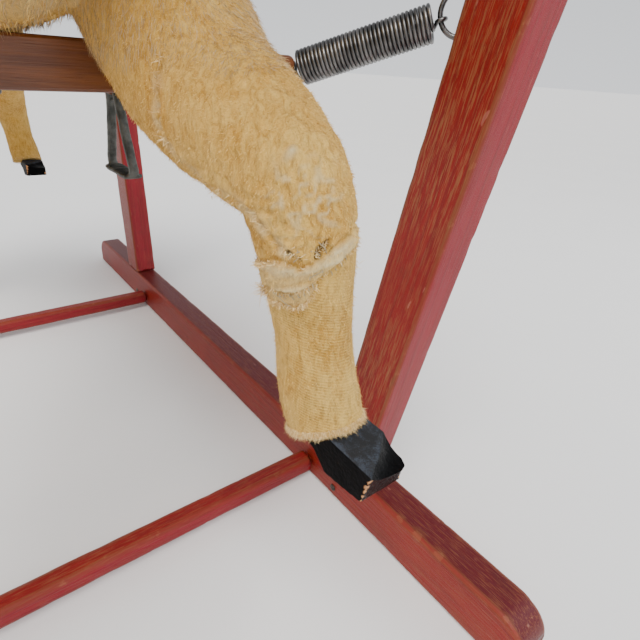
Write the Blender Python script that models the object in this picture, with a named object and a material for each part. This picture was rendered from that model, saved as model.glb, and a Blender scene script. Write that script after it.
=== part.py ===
"""Rocking horse slung on four coil springs in a wooden stand.

Metres. +X is the way the horse faces, +Y is its left side, +Z is up.
The origin is on the floor, in the middle of the stand.
"""

import math

import bmesh
import bpy
from mathutils import Vector

# Driving dimensions
UNIT = 0.45
GAP = 0.0003

RAIL_LENGTH = 2.53 * UNIT
RAIL_INNER_Y = 0.56 * UNIT
RAIL_WIDTH = 0.083 * UNIT
RAIL_HEIGHT = 0.1265 * UNIT
RAIL_END_RADIUS = 0.030

POST_FRONT_X = 0.81 * UNIT
POST_DEPTH = 0.118 * UNIT
POST_TOP_Z = 0.600
POST_LEAN_X = 0.17
POST_LEAN_Y = 0.035

CROSS_RAIL_X = 0.277
CROSS_RAIL_Z = 0.0205
CROSS_RAIL_SIZE = 0.0215

BAR_X = 0.2645
BAR_DEPTH = 0.045
BAR_HALF_LENGTH = 0.205
BAR_TOP_Z = 0.457
BAR_HEIGHT = 0.029
BAR_Z = BAR_TOP_Z - BAR_HEIGHT / 2

RING_Z = 0.4905
RING_RADIUS = 0.0155
RING_WIRE = 0.0020
RING_FROM_POST = 0.0145
RING_FROM_INNER_FACE = 0.0215
STAPLE_WIRE = 0.0013
STAPLE_HALF_WIDTH = 0.0050
STAPLE_REACH = 0.0092

SPRING_RADIUS = 0.0132
# Distance from the bar's end towards the ring's centre, radius
SPRING_OUTLINE = [(0.0135, 0.0040), (0.0175, 0.0100), (0.0225, 0.0128), (0.1190, SPRING_RADIUS),
                  (0.1215, 0.0120), (0.1245, 0.0030)]

RAIL_SCREW_X = 0.326
RAIL_SCREW_Z = 0.014
RAIL_SCREW_RADIUS = 0.0042
RAIL_SCREW_HEIGHT = 0.0018
BOLT_RADIUS = 0.0100
BOLT_HEIGHT = 0.0050

HOOF_WIDTH = 0.032
# How much further out than the ankle a hoof's middle lies
HOOF_OUT = 0.005
STIRRUP_X = 0.100
STIRRUP_Y = 0.1240
STIRRUP_BAR_Z = 0.600
IRON_TOP_Z = 0.4215
LEATHER_WIDTH = 0.018
LEATHER_THICKNESS = 0.0025
# The iron turns on its top edge, so the strap's end stands off it by this much
LEATHER_CLEARANCE = 0.0016

BLANKET_THICKNESS = 0.0032
FLAP_THICKNESS = 0.0042
STRAP_THICKNESS = 0.0024

# Torso, from rump to chest: x, centre z, half height, half width
TORSO = [
    (-0.388, 0.600, 0.028, 0.026),
    (-0.376, 0.599, 0.072, 0.064),
    (-0.345, 0.593, 0.106, 0.094),
    (-0.290, 0.584, 0.1255, 0.112),
    (-0.200, 0.580, 0.122, 0.112),
    (-0.060, 0.579, 0.116, 0.107),
    (0.080, 0.579, 0.118, 0.109),
    (0.200, 0.582, 0.1235, 0.112),
    (0.290, 0.585, 0.1265, 0.112),
    (0.345, 0.592, 0.110, 0.098),
    (0.376, 0.600, 0.074, 0.068),
    (0.388, 0.602, 0.028, 0.026),
]

# Limb, neck and head sections: (x, y, z), half width across in the XZ plane, half width in Y
FORELEG = [
    ((0.280, 0.080, 0.530), 0.052, 0.046),
    ((0.326, 0.090, 0.466), 0.0450, 0.0460),
    ((0.362, 0.095, 0.433), 0.0405, 0.0400),
    ((0.402, 0.100, 0.4155), 0.0347, 0.0332),
    ((0.4310, 0.104, 0.397), 0.0298, 0.0288),
    ((0.4380, 0.108, 0.372), 0.0270, 0.0268),
    ((0.4405, 0.111, 0.346), 0.0236, 0.0236),
    ((0.442, 0.114, 0.321), 0.0215, 0.0215),
    ((0.445, 0.116, 0.298), 0.0225, 0.0225),
    ((0.449, 0.117, 0.276), 0.0238, 0.0238),
    ((0.4555, 0.118, 0.259), 0.0238, 0.0238),
]
HIND_LEG = [
    ((-0.290, 0.076, 0.545), 0.072, 0.044),
    ((-0.335, 0.086, 0.480), 0.062, 0.043),
    ((-0.378, 0.094, 0.432), 0.048, 0.038),
    ((-0.420, 0.101, 0.394), 0.034, 0.030),
    ((-0.450, 0.106, 0.366), 0.0275, 0.0262),
    ((-0.463, 0.110, 0.340), 0.0240, 0.0238),
    ((-0.466, 0.113, 0.316), 0.0215, 0.0215),
    ((-0.467, 0.115, 0.297), 0.0225, 0.0225),
    ((-0.4655, 0.117, 0.276), 0.0238, 0.0238),
    ((-0.4600, 0.118, 0.259), 0.0238, 0.0238),
]
NECK = [
    ((0.240, 0.0, 0.630), 0.106, 0.078),
    ((0.283, 0.0, 0.708), 0.096, 0.067),
    ((0.322, 0.0, 0.785), 0.082, 0.053),
    ((0.356, 0.0, 0.855), 0.066, 0.045),
    ((0.380, 0.0, 0.908), 0.056, 0.041),
    ((0.392, 0.0, 0.938), 0.040, 0.034),
]
HEAD = [
    ((0.342, 0.0, 0.952), 0.022, 0.020),
    ((0.356, 0.0, 0.946), 0.043, 0.036),
    ((0.385, 0.0, 0.932), 0.056, 0.044),
    ((0.420, 0.0, 0.914), 0.052, 0.043),
    ((0.458, 0.0, 0.893), 0.041, 0.035),
    ((0.496, 0.0, 0.872), 0.033, 0.030),
    ((0.530, 0.0, 0.853), 0.032, 0.031),
    ((0.553, 0.0, 0.840), 0.026, 0.026),
    ((0.561, 0.0, 0.836), 0.013, 0.014),
]
TAIL = [
    ((-0.366, 0.0, 0.650), 0.014, 0.014),
    ((-0.410, 0.0, 0.658), 0.020, 0.020),
    ((-0.452, 0.0, 0.628), 0.028, 0.028),
    ((-0.478, 0.0, 0.560), 0.035, 0.034),
    ((-0.492, 0.0, 0.480), 0.036, 0.036),
    ((-0.502, 0.0, 0.410), 0.030, 0.030),
    ((-0.508, 0.0, 0.352), 0.013, 0.013),
]
MANE = [
    ((0.166, 0.0, 0.724), 0.016, 0.020),
    ((0.204, 0.0, 0.764), 0.040, 0.058),
    ((0.246, 0.0, 0.826), 0.046, 0.066),
    ((0.288, 0.0, 0.884), 0.046, 0.058),
    ((0.318, 0.0, 0.930), 0.040, 0.046),
    ((0.338, 0.0, 0.966), 0.020, 0.020),
]

# Hoof outline in the XZ plane, measured from the middle of the leg's lower end
HOOF = [(-0.0160, -0.0062), (0.0150, 0.0054), (0.0515, 0.0045), (0.0465, -0.0177), (0.0140, -0.0218),
        (0.0035, -0.0120)]

EAR = [
    ((0.384, 0.024, 0.966), 0.014, 0.011),
    ((0.380, 0.029, 0.990), 0.016, 0.009),
    ((0.383, 0.033, 1.014), 0.011, 0.006),
    ((0.391, 0.035, 1.034), 0.003, 0.002),
]
EYE = [
    ((0.4130, 0.0330, 0.9280), 0.0020, 0.0040),
    ((0.4150, 0.0340, 0.9275), 0.0080, 0.0080),
    ((0.4220, 0.0360, 0.9250), 0.0110, 0.0095),
    ((0.4290, 0.0350, 0.9225), 0.0080, 0.0080),
    ((0.4310, 0.0340, 0.9220), 0.0020, 0.0040),
]
SEAT = [
    ((-0.160, 0.0, 0.716), 0.012, 0.020),
    ((-0.148, 0.0, 0.712), 0.034, 0.064),
    ((-0.115, 0.0, 0.702), 0.038, 0.082),
    ((-0.050, 0.0, 0.694), 0.029, 0.084),
    ((0.020, 0.0, 0.694), 0.030, 0.078),
    ((0.070, 0.0, 0.702), 0.036, 0.062),
    ((0.100, 0.0, 0.714), 0.034, 0.034),
    ((0.111, 0.0, 0.720), 0.012, 0.014),
]

# Edges of the saddlery on the torso: x from and to, z from and to
BLANKET_AREA = (-0.182, 0.118, 0.548, 0.80)
GIRTH_AREA = (0.040, 0.080, 0.40, 0.5535)
SEAT_AREA = (-0.2, 0.2, 0.6645, 0.82)
FLAP_OUTLINE = [(-0.040, 0.664), (-0.032, 0.610), (-0.008, 0.566), (0.045, 0.556), (0.092, 0.572),
                (0.112, 0.620), (0.110, 0.664)]

# Bands round the head: the share of the way from brow to muzzle, and half the width
NOSEBAND = (0.74, 0.0080)
HEADSTALL = (0.135, 0.0055)
HEAD_SLOPE = math.radians(29)

# Middle line of the left rein, from the noseband to the withers
REIN = [(0.468, 0.0470, 0.8800), (0.440, 0.0600, 0.8480), (0.395, 0.0710, 0.8080), (0.340, 0.0790, 0.7720),
        (0.280, 0.0860, 0.7370), (0.225, 0.0880, 0.7060), (0.185, 0.0780, 0.6960), (0.155, 0.0570, 0.7010),
        (0.141, 0.0300, 0.7085), (0.137, 0.0, 0.7110)]
REIN_WIDTH = 0.012

# Half of the stirrup iron's middle line, from its top bar down to the foot plate: out, down
IRON = [(0.0, 0.0), (0.0075, 0.0015), (0.0115, 0.0100), (0.0158, 0.0250), (0.0220, 0.0430), (0.0285, 0.0590),
        (0.0325, 0.0690), (0.0325, 0.0745), (0.0270, 0.0790), (0.0, 0.0790)]
IRON_THICKNESS = 0.0060
IRON_BREADTH = 0.0090
FOOT_PLATE_BREADTH = 0.0180
FOOT_PLATE_DOWN = 0.0720


def clear_scene():
    for obj in list(bpy.data.objects):
        bpy.data.objects.remove(obj, do_unlink=True)


def make_material(name, colour, roughness, metallic=0.0):
    material = bpy.data.materials.new(name)
    material.use_nodes = True
    shader = material.node_tree.nodes["Principled BSDF"]
    shader.inputs["Base Color"].default_value = (*colour, 1.0)
    shader.inputs["Roughness"].default_value = roughness
    shader.inputs["Metallic"].default_value = metallic
    material.diffuse_color = (*colour, 1.0)
    return material


def make_materials():
    return {
        "red_paint": make_material("red_paint", (0.36, 0.035, 0.040), 0.45),
        "varnished_wood": make_material("varnished_wood", (0.42, 0.15, 0.035), 0.35),
        "spring_steel": make_material("spring_steel", (0.25, 0.24, 0.22), 0.35, 1.0),
        "mohair": make_material("mohair", (0.62, 0.45, 0.22), 0.90),
        "black_paint": make_material("black_paint", (0.012, 0.012, 0.013), 0.35),
        "horsehair": make_material("horsehair", (0.42, 0.30, 0.17), 0.75),
        "amber_glass": make_material("amber_glass", (0.10, 0.035, 0.010), 0.08),
        "brown_leather": make_material("brown_leather", (0.13, 0.050, 0.022), 0.50),
        "red_felt": make_material("red_felt", (0.26, 0.030, 0.035), 0.95),
        "cast_iron": make_material("cast_iron", (0.06, 0.06, 0.055), 0.55, 0.8),
    }


def add_object(name, mesh, material, pivot=None):
    """Places a mesh made in world coordinates, under its pivot if it has one."""
    obj = bpy.data.objects.new(name, mesh)
    bpy.context.scene.collection.objects.link(obj)
    if material is not None:
        mesh.materials.append(material)
    if pivot is not None:
        obj.parent = pivot
        obj.location = -Vector(pivot["world_place"])
    return obj


def make_pivot(name, place, parent=None):
    """An empty on a joint's axis."""
    empty = bpy.data.objects.new(name, None)
    empty.empty_display_size = 0.03
    empty["world_place"] = place
    bpy.context.scene.collection.objects.link(empty)
    if parent is None:
        empty.location = place
    else:
        empty.parent = parent
        empty.location = Vector(place) - Vector(parent["world_place"])
    return empty


def finish_mesh(name, work, smooth_angle=40.0):
    bmesh.ops.recalc_face_normals(work, faces=work.faces)
    mesh = bpy.data.meshes.new(name)
    work.to_mesh(mesh)
    work.free()
    mesh.shade_smooth()
    mesh.set_sharp_from_angle(angle=math.radians(smooth_angle))
    return mesh


def skin_rings(name, rings, closed=False, smooth_angle=40.0):
    """One closed skin through rings of points: with flat ends, or joined end to end."""
    work = bmesh.new()
    verts = [[work.verts.new(point) for point in ring] for ring in rings]
    count = len(rings[0])
    last = len(rings) if closed else len(rings) - 1
    for i in range(last):
        here, there = verts[i], verts[(i + 1) % len(rings)]
        for k in range(count):
            work.faces.new((here[k], here[(k + 1) % count], there[(k + 1) % count], there[k]))
    if not closed:
        work.faces.new(verts[0])
        work.faces.new(list(reversed(verts[-1])))
    return finish_mesh(name, work, smooth_angle)


def loft_rings(sections, segments, grow=0.0, side=1.0):
    """Elliptical rings square to a centre line that runs in or near the XZ plane."""
    rings = []
    for i, (centre, across, wide) in enumerate(sections):
        before = Vector(sections[max(i - 1, 0)][0])
        after = Vector(sections[min(i + 1, len(sections) - 1)][0])
        along = after - before
        flat = Vector((along.z, 0.0, -along.x)).normalized()
        middle = Vector((centre[0], centre[1] * side, centre[2]))
        ring = []
        for angle in turn(segments):
            ring.append(middle + flat * math.cos(angle) * (across + grow)
                        + Vector((0.0, math.sin(angle) * (wide + grow), 0.0)))
        rings.append(ring)
    for end, inner in ((0, 1), (-1, -2)):
        out = (Vector(sections[end][0]) - Vector(sections[inner][0])).normalized() * grow
        rings[end] = [point + Vector((out.x, 0.0, out.z)) for point in rings[end]]
    return rings


def loft(name, sections, segments, grow=0.0, side=1.0):
    return skin_rings(name, loft_rings(sections, segments, grow, side))


def torso_mesh(name, grow):
    sections = [((x, 0.0, z), tall, wide) for x, z, tall, wide in TORSO]
    return loft(name, sections, 28, grow)


def prism(name, outline, low, high, plane="xz"):
    """A closed outline extruded along Y (plane xz) or along X (plane yz)."""
    rings = []
    for level in (low, high):
        if plane == "xz":
            rings.append([Vector((a, level, b)) for a, b in outline])
        else:
            rings.append([Vector((level, a, b)) for a, b in outline])
    return skin_rings(name, rings, smooth_angle=30.0)


def box_outline(x0, x1, z0, z1):
    return [(x0, z0), (x1, z0), (x1, z1), (x0, z1)]


def rounded_rectangle(half_a, half_b, radius, steps=3):
    """Points of a rectangle with round corners, about (0, 0)."""
    points = []
    for quarter in range(4):
        sign_a = 1 if quarter in (0, 3) else -1
        sign_b = 1 if quarter in (0, 1) else -1
        for step in range(steps + 1):
            angle = math.pi / 2 * (quarter + step / steps)
            points.append((sign_a * (half_a - radius) + radius * math.cos(angle),
                           sign_b * (half_b - radius) + radius * math.sin(angle)))
    return points


def bevel(obj, width, segments=2):
    modifier = obj.modifiers.new("eased_edges", "BEVEL")
    modifier.width = width
    modifier.segments = segments
    modifier.limit_method = "ANGLE"
    modifier.angle_limit = math.radians(40)
    return obj


def boolean(obj, other, operation="DIFFERENCE"):
    modifier = obj.modifiers.new(operation.lower(), "BOOLEAN")
    modifier.operation = operation
    modifier.solver = "EXACT"
    modifier.object = other
    return obj


def helper(name, mesh):
    """A cutter: never rendered, and not a piece of the object."""
    obj = add_object(name, mesh, None)
    obj.hide_render = True
    obj.display_type = "WIRE"
    return obj


def wire(name, points, radius, material, pivot=None, cyclic=False):
    """A round wire or rod through the points."""
    curve = bpy.data.curves.new(name, "CURVE")
    curve.dimensions = "3D"
    curve.bevel_depth = radius
    curve.bevel_resolution = 2
    curve.use_fill_caps = not cyclic
    spline = curve.splines.new("POLY")
    spline.points.add(len(points) - 1)
    for slot, point in zip(spline.points, points):
        slot.co = (*point, 1.0)
    spline.use_cyclic_u = cyclic
    return add_object(name, curve, material, pivot)


def post_face_x(z):
    """How far the face of a post that looks at the horse is from the middle, at height z."""
    return POST_FRONT_X - POST_DEPTH + POST_LEAN_X * (z - RAIL_HEIGHT)


def post_inner_y(z):
    return RAIL_INNER_Y + POST_LEAN_Y * (z - RAIL_HEIGHT)


def corner_names():
    """Name and the signs of X and Y for each corner of the stand."""
    return [("front_left", 1, 1), ("front_right", 1, -1), ("rear_left", -1, 1), ("rear_right", -1, -1)]


def ring_centre(sign_x, sign_y):
    x = post_face_x(RING_Z) - RING_FROM_POST
    y = post_inner_y(RING_Z) + RING_FROM_INNER_FACE
    return Vector((sign_x * x, sign_y * y, RING_Z))


def bar_end(sign_x, sign_y):
    return Vector((sign_x * BAR_X, sign_y * BAR_HALF_LENGTH, BAR_Z))


def build_rails(paint):
    half = RAIL_LENGTH / 2
    outline = [(half, 0.0)]
    for step in range(7):
        angle = math.pi / 2 * step / 6
        outline.append((half - RAIL_END_RADIUS * (1 - math.cos(angle)),
                        RAIL_HEIGHT - RAIL_END_RADIUS * (1 - math.sin(angle))))
    outline += [(-x, z) for x, z in reversed(outline)]
    for name, side in (("left_base_rail", 1), ("right_base_rail", -1)):
        ends = sorted((side * RAIL_INNER_Y, side * (RAIL_INNER_Y + RAIL_WIDTH)))
        bevel(add_object(name, prism(name, outline, *ends), paint), 0.0018)


def build_posts(paint):
    for name, sign_x, sign_y in corner_names():
        rings = []
        for z in (RAIL_HEIGHT + GAP, POST_TOP_Z):
            inner_x = post_face_x(z)
            inner_y = post_inner_y(z)
            corners = [(inner_x, inner_y), (inner_x + POST_DEPTH, inner_y),
                       (inner_x + POST_DEPTH, inner_y + RAIL_WIDTH), (inner_x, inner_y + RAIL_WIDTH)]
            rings.append([Vector((sign_x * x, sign_y * y, z)) for x, y in corners])
        mesh = skin_rings(name + "_post", rings, smooth_angle=30.0)
        bevel(add_object(name + "_post", mesh, paint), 0.0030)


def build_cross_rails(paint):
    outline = rounded_rectangle(CROSS_RAIL_SIZE / 2, CROSS_RAIL_SIZE / 2, 0.005)
    half = RAIL_INNER_Y - GAP
    for name, sign in (("front_cross_rail", 1), ("rear_cross_rail", -1)):
        shape = [(sign * CROSS_RAIL_X + a, CROSS_RAIL_Z + b) for a, b in outline]
        add_object(name, prism(name, shape, -half, half), paint)


def turn(count):
    """Angles of that many equal steps round a circle."""
    return [2 * math.pi * k / count for k in range(count)]


def dome(name, centre, axis, radius, height, material, pivot=None):
    """A low round head standing on a face, its flat side at centre."""
    axis = Vector(axis).normalized()
    side = axis.orthogonal().normalized()
    other = axis.cross(side)
    rings = []
    for level, share in ((0.0, 1.0), (0.45, 0.94), (0.85, 0.62), (1.0, 0.2)):
        middle = Vector(centre) + axis * height * level
        rings.append([middle + (side * math.cos(t) + other * math.sin(t)) * radius * share for t in turn(16)])
    return add_object(name, skin_rings(name, rings), material, pivot)


def build_fasteners(iron, horse):
    for name, sign_x, sign_y in corner_names():
        place = (sign_x * RAIL_SCREW_X, sign_y * (RAIL_INNER_Y - GAP), RAIL_SCREW_Z)
        dome(name + "_rail_screw", place, (0, -sign_y, 0), RAIL_SCREW_RADIUS, RAIL_SCREW_HEIGHT, iron)
    for name, sign in (("front", 1), ("rear", -1)):
        place = (sign * BAR_X, 0.0, BAR_TOP_Z - BAR_HEIGHT - GAP)
        dome(name + "_bar_bolt", place, (0, 0, -1), BOLT_RADIUS, BOLT_HEIGHT, iron, horse)


def staple_points(foot, out, across):
    """A U of wire: two legs on a face, joined by a half round end that stands off it by STAPLE_REACH."""
    straight = STAPLE_REACH - STAPLE_HALF_WIDTH
    points = [foot + across * STAPLE_HALF_WIDTH]
    for step in range(9):
        angle = math.pi * step / 8
        points.append(foot + out * (straight + STAPLE_HALF_WIDTH * math.sin(angle))
                      + across * STAPLE_HALF_WIDTH * math.cos(angle))
    points.append(foot - across * STAPLE_HALF_WIDTH)
    return points


def build_hangers(steel, horse, springs):
    """At each corner: a staple in the post, a ring in it, the spring, and a staple in the bar's end."""
    for name, sign_x, sign_y in corner_names():
        ring_middle = ring_centre(sign_x, sign_y)
        start = bar_end(sign_x, sign_y)
        pull = (ring_middle - start).normalized()
        out = Vector((0.0, 0.0, 1.0)).cross(pull).normalized()
        up = pull.cross(out)
        points = [ring_middle + (pull * math.cos(t) + up * math.sin(t)) * RING_RADIUS for t in turn(28)]
        wire(name + "_ring", points, RING_WIRE, steel, cyclic=True)

        far = ring_middle + pull * RING_RADIUS
        foot = Vector((sign_x * (post_face_x(far.z) - GAP), far.y, far.z))
        legs = staple_points(foot, Vector((-sign_x, 0.0, 0.0)), Vector((0.0, 1.0, 0.0)))
        wire(name + "_post_staple", legs, STAPLE_WIRE, steel)

        foot = start + Vector((0.0, sign_y * GAP, 0.0))
        legs = staple_points(foot, Vector((0.0, sign_y, 0.0)), Vector((0.0, 0.0, 1.0)))
        wire(name + "_bar_staple", legs, STAPLE_WIRE, steel, horse)

        rings = []
        for along, radius in SPRING_OUTLINE:
            middle = start + pull * along
            rings.append([middle + (out * math.cos(t) + up * math.sin(t)) * radius for t in turn(14)])
        add_object(name + "_spring", skin_rings(name + "_spring", rings), steel, springs[sign_x])


def build_bars(wood, horse):
    outline = rounded_rectangle(BAR_HALF_LENGTH, BAR_HEIGHT / 2, 0.005)
    for name, sign in (("front_cross_bar", 1), ("rear_cross_bar", -1)):
        shape = [(a, BAR_Z + b) for a, b in outline]
        low = sign * BAR_X - BAR_DEPTH / 2
        mesh = prism(name, shape, low, low + BAR_DEPTH, plane="yz")
        bevel(add_object(name, mesh, wood, horse), 0.0020)


def build_legs(mohair, black, horse, torso_cutter, blocks):
    for name, sections in (("foreleg", FORELEG), ("hind_leg", HIND_LEG)):
        for side_name, side in (("left", 1), ("right", -1)):
            node = side_name + "_" + name
            leg = add_object(node, loft(node, sections, 18, side=side), mohair, horse)
            boolean(leg, torso_cutter)
            for block in blocks:
                boolean(leg, block)
            ankle = Vector(sections[-1][0])
            outline = [(ankle.x + x, ankle.z + z - GAP) for x, z in HOOF]
            hoof_name = side_name + ("_fore_hoof" if name == "foreleg" else "_hind_hoof")
            low = side * (ankle.y + HOOF_OUT) - HOOF_WIDTH / 2
            hoof = add_object(hoof_name, prism(hoof_name, outline, low, low + HOOF_WIDTH), black, horse)
            seat_name = hoof_name + "_seat"
            boolean(hoof, helper(seat_name, loft(seat_name, sections, 18, GAP, side)))
            bevel(hoof, 0.0020)


def build_figure(materials, horse):
    mohair = materials["mohair"]
    add_object("torso", torso_mesh("torso", 0.0), mohair, horse)
    torso_cutter = helper("torso_clearance", torso_mesh("torso_clearance", 2 * GAP))

    bar_blocks = []
    half_x, half_z = BAR_DEPTH / 2 + GAP, BAR_HEIGHT / 2 + GAP
    for name, x in (("bar_clearance_front", BAR_X), ("bar_clearance_rear", -BAR_X)):
        outline = box_outline(x - half_x, x + half_x, BAR_Z - half_z, BAR_Z + half_z)
        bar_blocks.append(helper(name, prism(name, outline, -0.25, 0.25)))
    build_legs(mohair, materials["black_paint"], horse, torso_cutter, bar_blocks)

    neck = add_object("neck_and_head", loft("neck_and_head", NECK, 22), mohair, horse)
    boolean(neck, helper("head_shape", loft("head_shape", HEAD, 22)), "UNION")
    boolean(neck, torso_cutter)

    neck_cutter = helper("neck_clearance", loft("neck_clearance", NECK, 22, GAP))
    head_cutter = helper("head_clearance", loft("head_clearance", HEAD, 22, GAP))

    for side_name, side in (("left", 1), ("right", -1)):
        name = side_name + "_ear"
        boolean(add_object(name, loft(name, EAR, 14, side=side), mohair, horse), head_cutter)
        name = side_name + "_eye"
        boolean(add_object(name, loft(name, EYE, 14, side=side), materials["amber_glass"], horse), head_cutter)

    mane = add_object("mane", loft("mane", MANE, 20), materials["horsehair"], horse)
    for cutter in (torso_cutter, neck_cutter, head_cutter):
        boolean(mane, cutter)
    tail = add_object("tail", loft("tail", TAIL, 16), materials["horsehair"], horse)
    boolean(tail, torso_cutter)
    return head_cutter, neck_cutter


def region(name, outline, low, high):
    return helper(name, prism(name, outline, low, high))


def build_saddlery(materials, horse):
    """The blanket, saddle and girth lie on each other, outwards from the torso."""
    leather = materials["brown_leather"]
    blanket_top = GAP + BLANKET_THICKNESS
    over_blanket = blanket_top + GAP
    under_blanket = helper("under_blanket", torso_mesh("under_blanket", GAP))
    under_saddle = helper("under_saddle", torso_mesh("under_saddle", over_blanket))
    reach = 0.2

    felt = materials["red_felt"]
    blanket = add_object("saddle_blanket", torso_mesh("saddle_blanket", blanket_top), felt, horse)
    boolean(blanket, under_blanket)
    boolean(blanket, region("blanket_region", box_outline(*BLANKET_AREA), -reach, reach), "INTERSECT")

    for name, low, high in (("left_saddle_flap", 0.0, reach), ("right_saddle_flap", -reach, 0.0)):
        flap = add_object(name, torso_mesh(name, over_blanket + FLAP_THICKNESS), leather, horse)
        boolean(flap, under_saddle)
        boolean(flap, region(name + "_region", FLAP_OUTLINE, low, high), "INTERSECT")

    girth = add_object("girth", torso_mesh("girth", over_blanket + STRAP_THICKNESS), leather, horse)
    boolean(girth, under_saddle)
    boolean(girth, region("girth_region", box_outline(*GIRTH_AREA), -reach, reach), "INTERSECT")

    saddle = add_object("saddle_seat", loft("saddle_seat", SEAT, 24), leather, horse)
    boolean(saddle, under_saddle)
    boolean(saddle, region("seat_region", box_outline(*SEAT_AREA), -reach, reach), "INTERSECT")


def head_band(name, along, half_width, leather, horse, cutters):
    """A band of leather round the head: a grown head, cut by the real one and by a slab square to its axis."""
    band = add_object(name, loft(name, HEAD, 22, GAP + STRAP_THICKNESS), leather, horse)
    for cutter in cutters:
        boolean(band, cutter)
    slab = region(name + "_region", box_outline(-half_width, half_width, -0.08, 0.08), -0.1, 0.1)
    slab.location = Vector(HEAD[2][0]).lerp(Vector(HEAD[6][0]), along)
    slab.rotation_euler = (0.0, HEAD_SLOPE, 0.0)
    boolean(band, slab, "INTERSECT")


def build_reins(leather, horse):
    """One strap on edge, from the left of the noseband round the withers to the right of it."""
    path = [Vector(point) for point in REIN]
    path += [Vector((x, -y, z)) for x, y, z in reversed(REIN[:-1])]
    rings = []
    for i, point in enumerate(path):
        along = (path[min(i + 1, len(path) - 1)] - path[max(i - 1, 0)]).normalized()
        out = along.cross(Vector((0.0, 0.0, 1.0))).normalized()
        up = out.cross(along)
        rings.append([point + up * REIN_WIDTH / 2 * a + out * STRAP_THICKNESS / 2 * b
                      for a, b in ((-1, -1), (1, -1), (1, 1), (-1, 1))])
    add_object("reins", skin_rings("reins", rings), leather, horse)


def build_bridle(leather, horse, head_cutter, neck_cutter):
    head_band("noseband", *NOSEBAND, leather, horse, [head_cutter])
    head_band("headstall", *HEADSTALL, leather, horse, [head_cutter, neck_cutter])
    build_reins(leather, horse)


def stirrup_iron(name, x, y, material, pivot):
    """A closed loop of flat bar with eased corners, broader along the foot plate."""
    eased = ((1, -0.7), (1, 0.7), (0.6, 1), (-0.6, 1), (-1, 0.7), (-1, -0.7), (-0.6, -1), (0.6, -1))
    outline = [(x + out, IRON_TOP_Z - down) for out, down in IRON]
    outline += [(x - out, IRON_TOP_Z - down) for out, down in reversed(IRON[1:-1])]
    rings = []
    for k, (at_x, at_z) in enumerate(outline):
        before, after = outline[k - 1], outline[(k + 1) % len(outline)]
        along = Vector((after[0] - before[0], 0.0, after[1] - before[1])).normalized()
        normal = Vector((along.z, 0.0, -along.x)) * IRON_THICKNESS / 2
        on_plate = IRON_TOP_Z - at_z > FOOT_PLATE_DOWN
        across = Vector((0.0, FOOT_PLATE_BREADTH / 2 if on_plate else IRON_BREADTH / 2, 0.0))
        middle = Vector((at_x, y, at_z))
        rings.append([middle + normal * a + across * b for a, b in eased])
    add_object(name, skin_rings(name, rings, closed=True), material, pivot)


def build_stirrups(materials, pivots):
    outline = rounded_rectangle(LEATHER_WIDTH / 2, LEATHER_THICKNESS / 2, 0.0008, steps=2)
    for side_name, side in (("left", 1), ("right", -1)):
        y = side * STIRRUP_Y
        name = side_name + "_stirrup_leather"
        leather_foot = IRON_TOP_Z + IRON_THICKNESS / 2 + LEATHER_CLEARANCE
        levels = (STIRRUP_BAR_Z, leather_foot)
        rings = [[Vector((STIRRUP_X + a, y + b, z)) for a, b in outline] for z in levels]
        add_object(name, skin_rings(name, rings), materials["brown_leather"], pivots[side_name + "_leather"])
        stirrup_iron(side_name + "_stirrup", STIRRUP_X, y, materials["cast_iron"], pivots[side_name + "_iron"])


def main():
    clear_scene()
    materials = make_materials()
    hub = (0.0, 0.0, BAR_Z)
    surge = make_pivot("surge_axis", hub)
    bounce = make_pivot("bounce_axis", hub, surge)
    horse = make_pivot("rock_axis", hub, bounce)
    pivots = {}
    for side_name, side in (("left", 1), ("right", -1)):
        leather_at = (STIRRUP_X, side * STIRRUP_Y, STIRRUP_BAR_Z)
        iron_at = (STIRRUP_X, side * STIRRUP_Y, IRON_TOP_Z + IRON_THICKNESS / 2)
        pivots[side_name + "_leather"] = make_pivot(side_name + "_leather_axis", leather_at, horse)
        leather_pivot = pivots[side_name + "_leather"]
        pivots[side_name + "_iron"] = make_pivot(side_name + "_iron_axis", iron_at, leather_pivot)

    build_rails(materials["red_paint"])
    build_posts(materials["red_paint"])
    build_cross_rails(materials["red_paint"])
    build_fasteners(materials["cast_iron"], horse)
    build_hangers(materials["spring_steel"], horse, {1: surge, -1: bounce})
    build_bars(materials["varnished_wood"], horse)
    head_cutter, neck_cutter = build_figure(materials, horse)
    build_saddlery(materials, horse)
    build_bridle(materials["brown_leather"], horse, head_cutter, neck_cutter)
    build_stirrups(materials, pivots)


main()
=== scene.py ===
"""Looks of a rocking horse slung on four coil springs in a red wooden stand.

Every length is in metres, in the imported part's own frame: +X is the way the horse faces,
+Y is its left side, +Z is up, and the origin is on the floor in the middle of the stand.
"""

import math

import bmesh
import bpy
import numpy as np
from mathutils import Matrix, Vector
from mathutils.bvhtree import BVHTree


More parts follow.
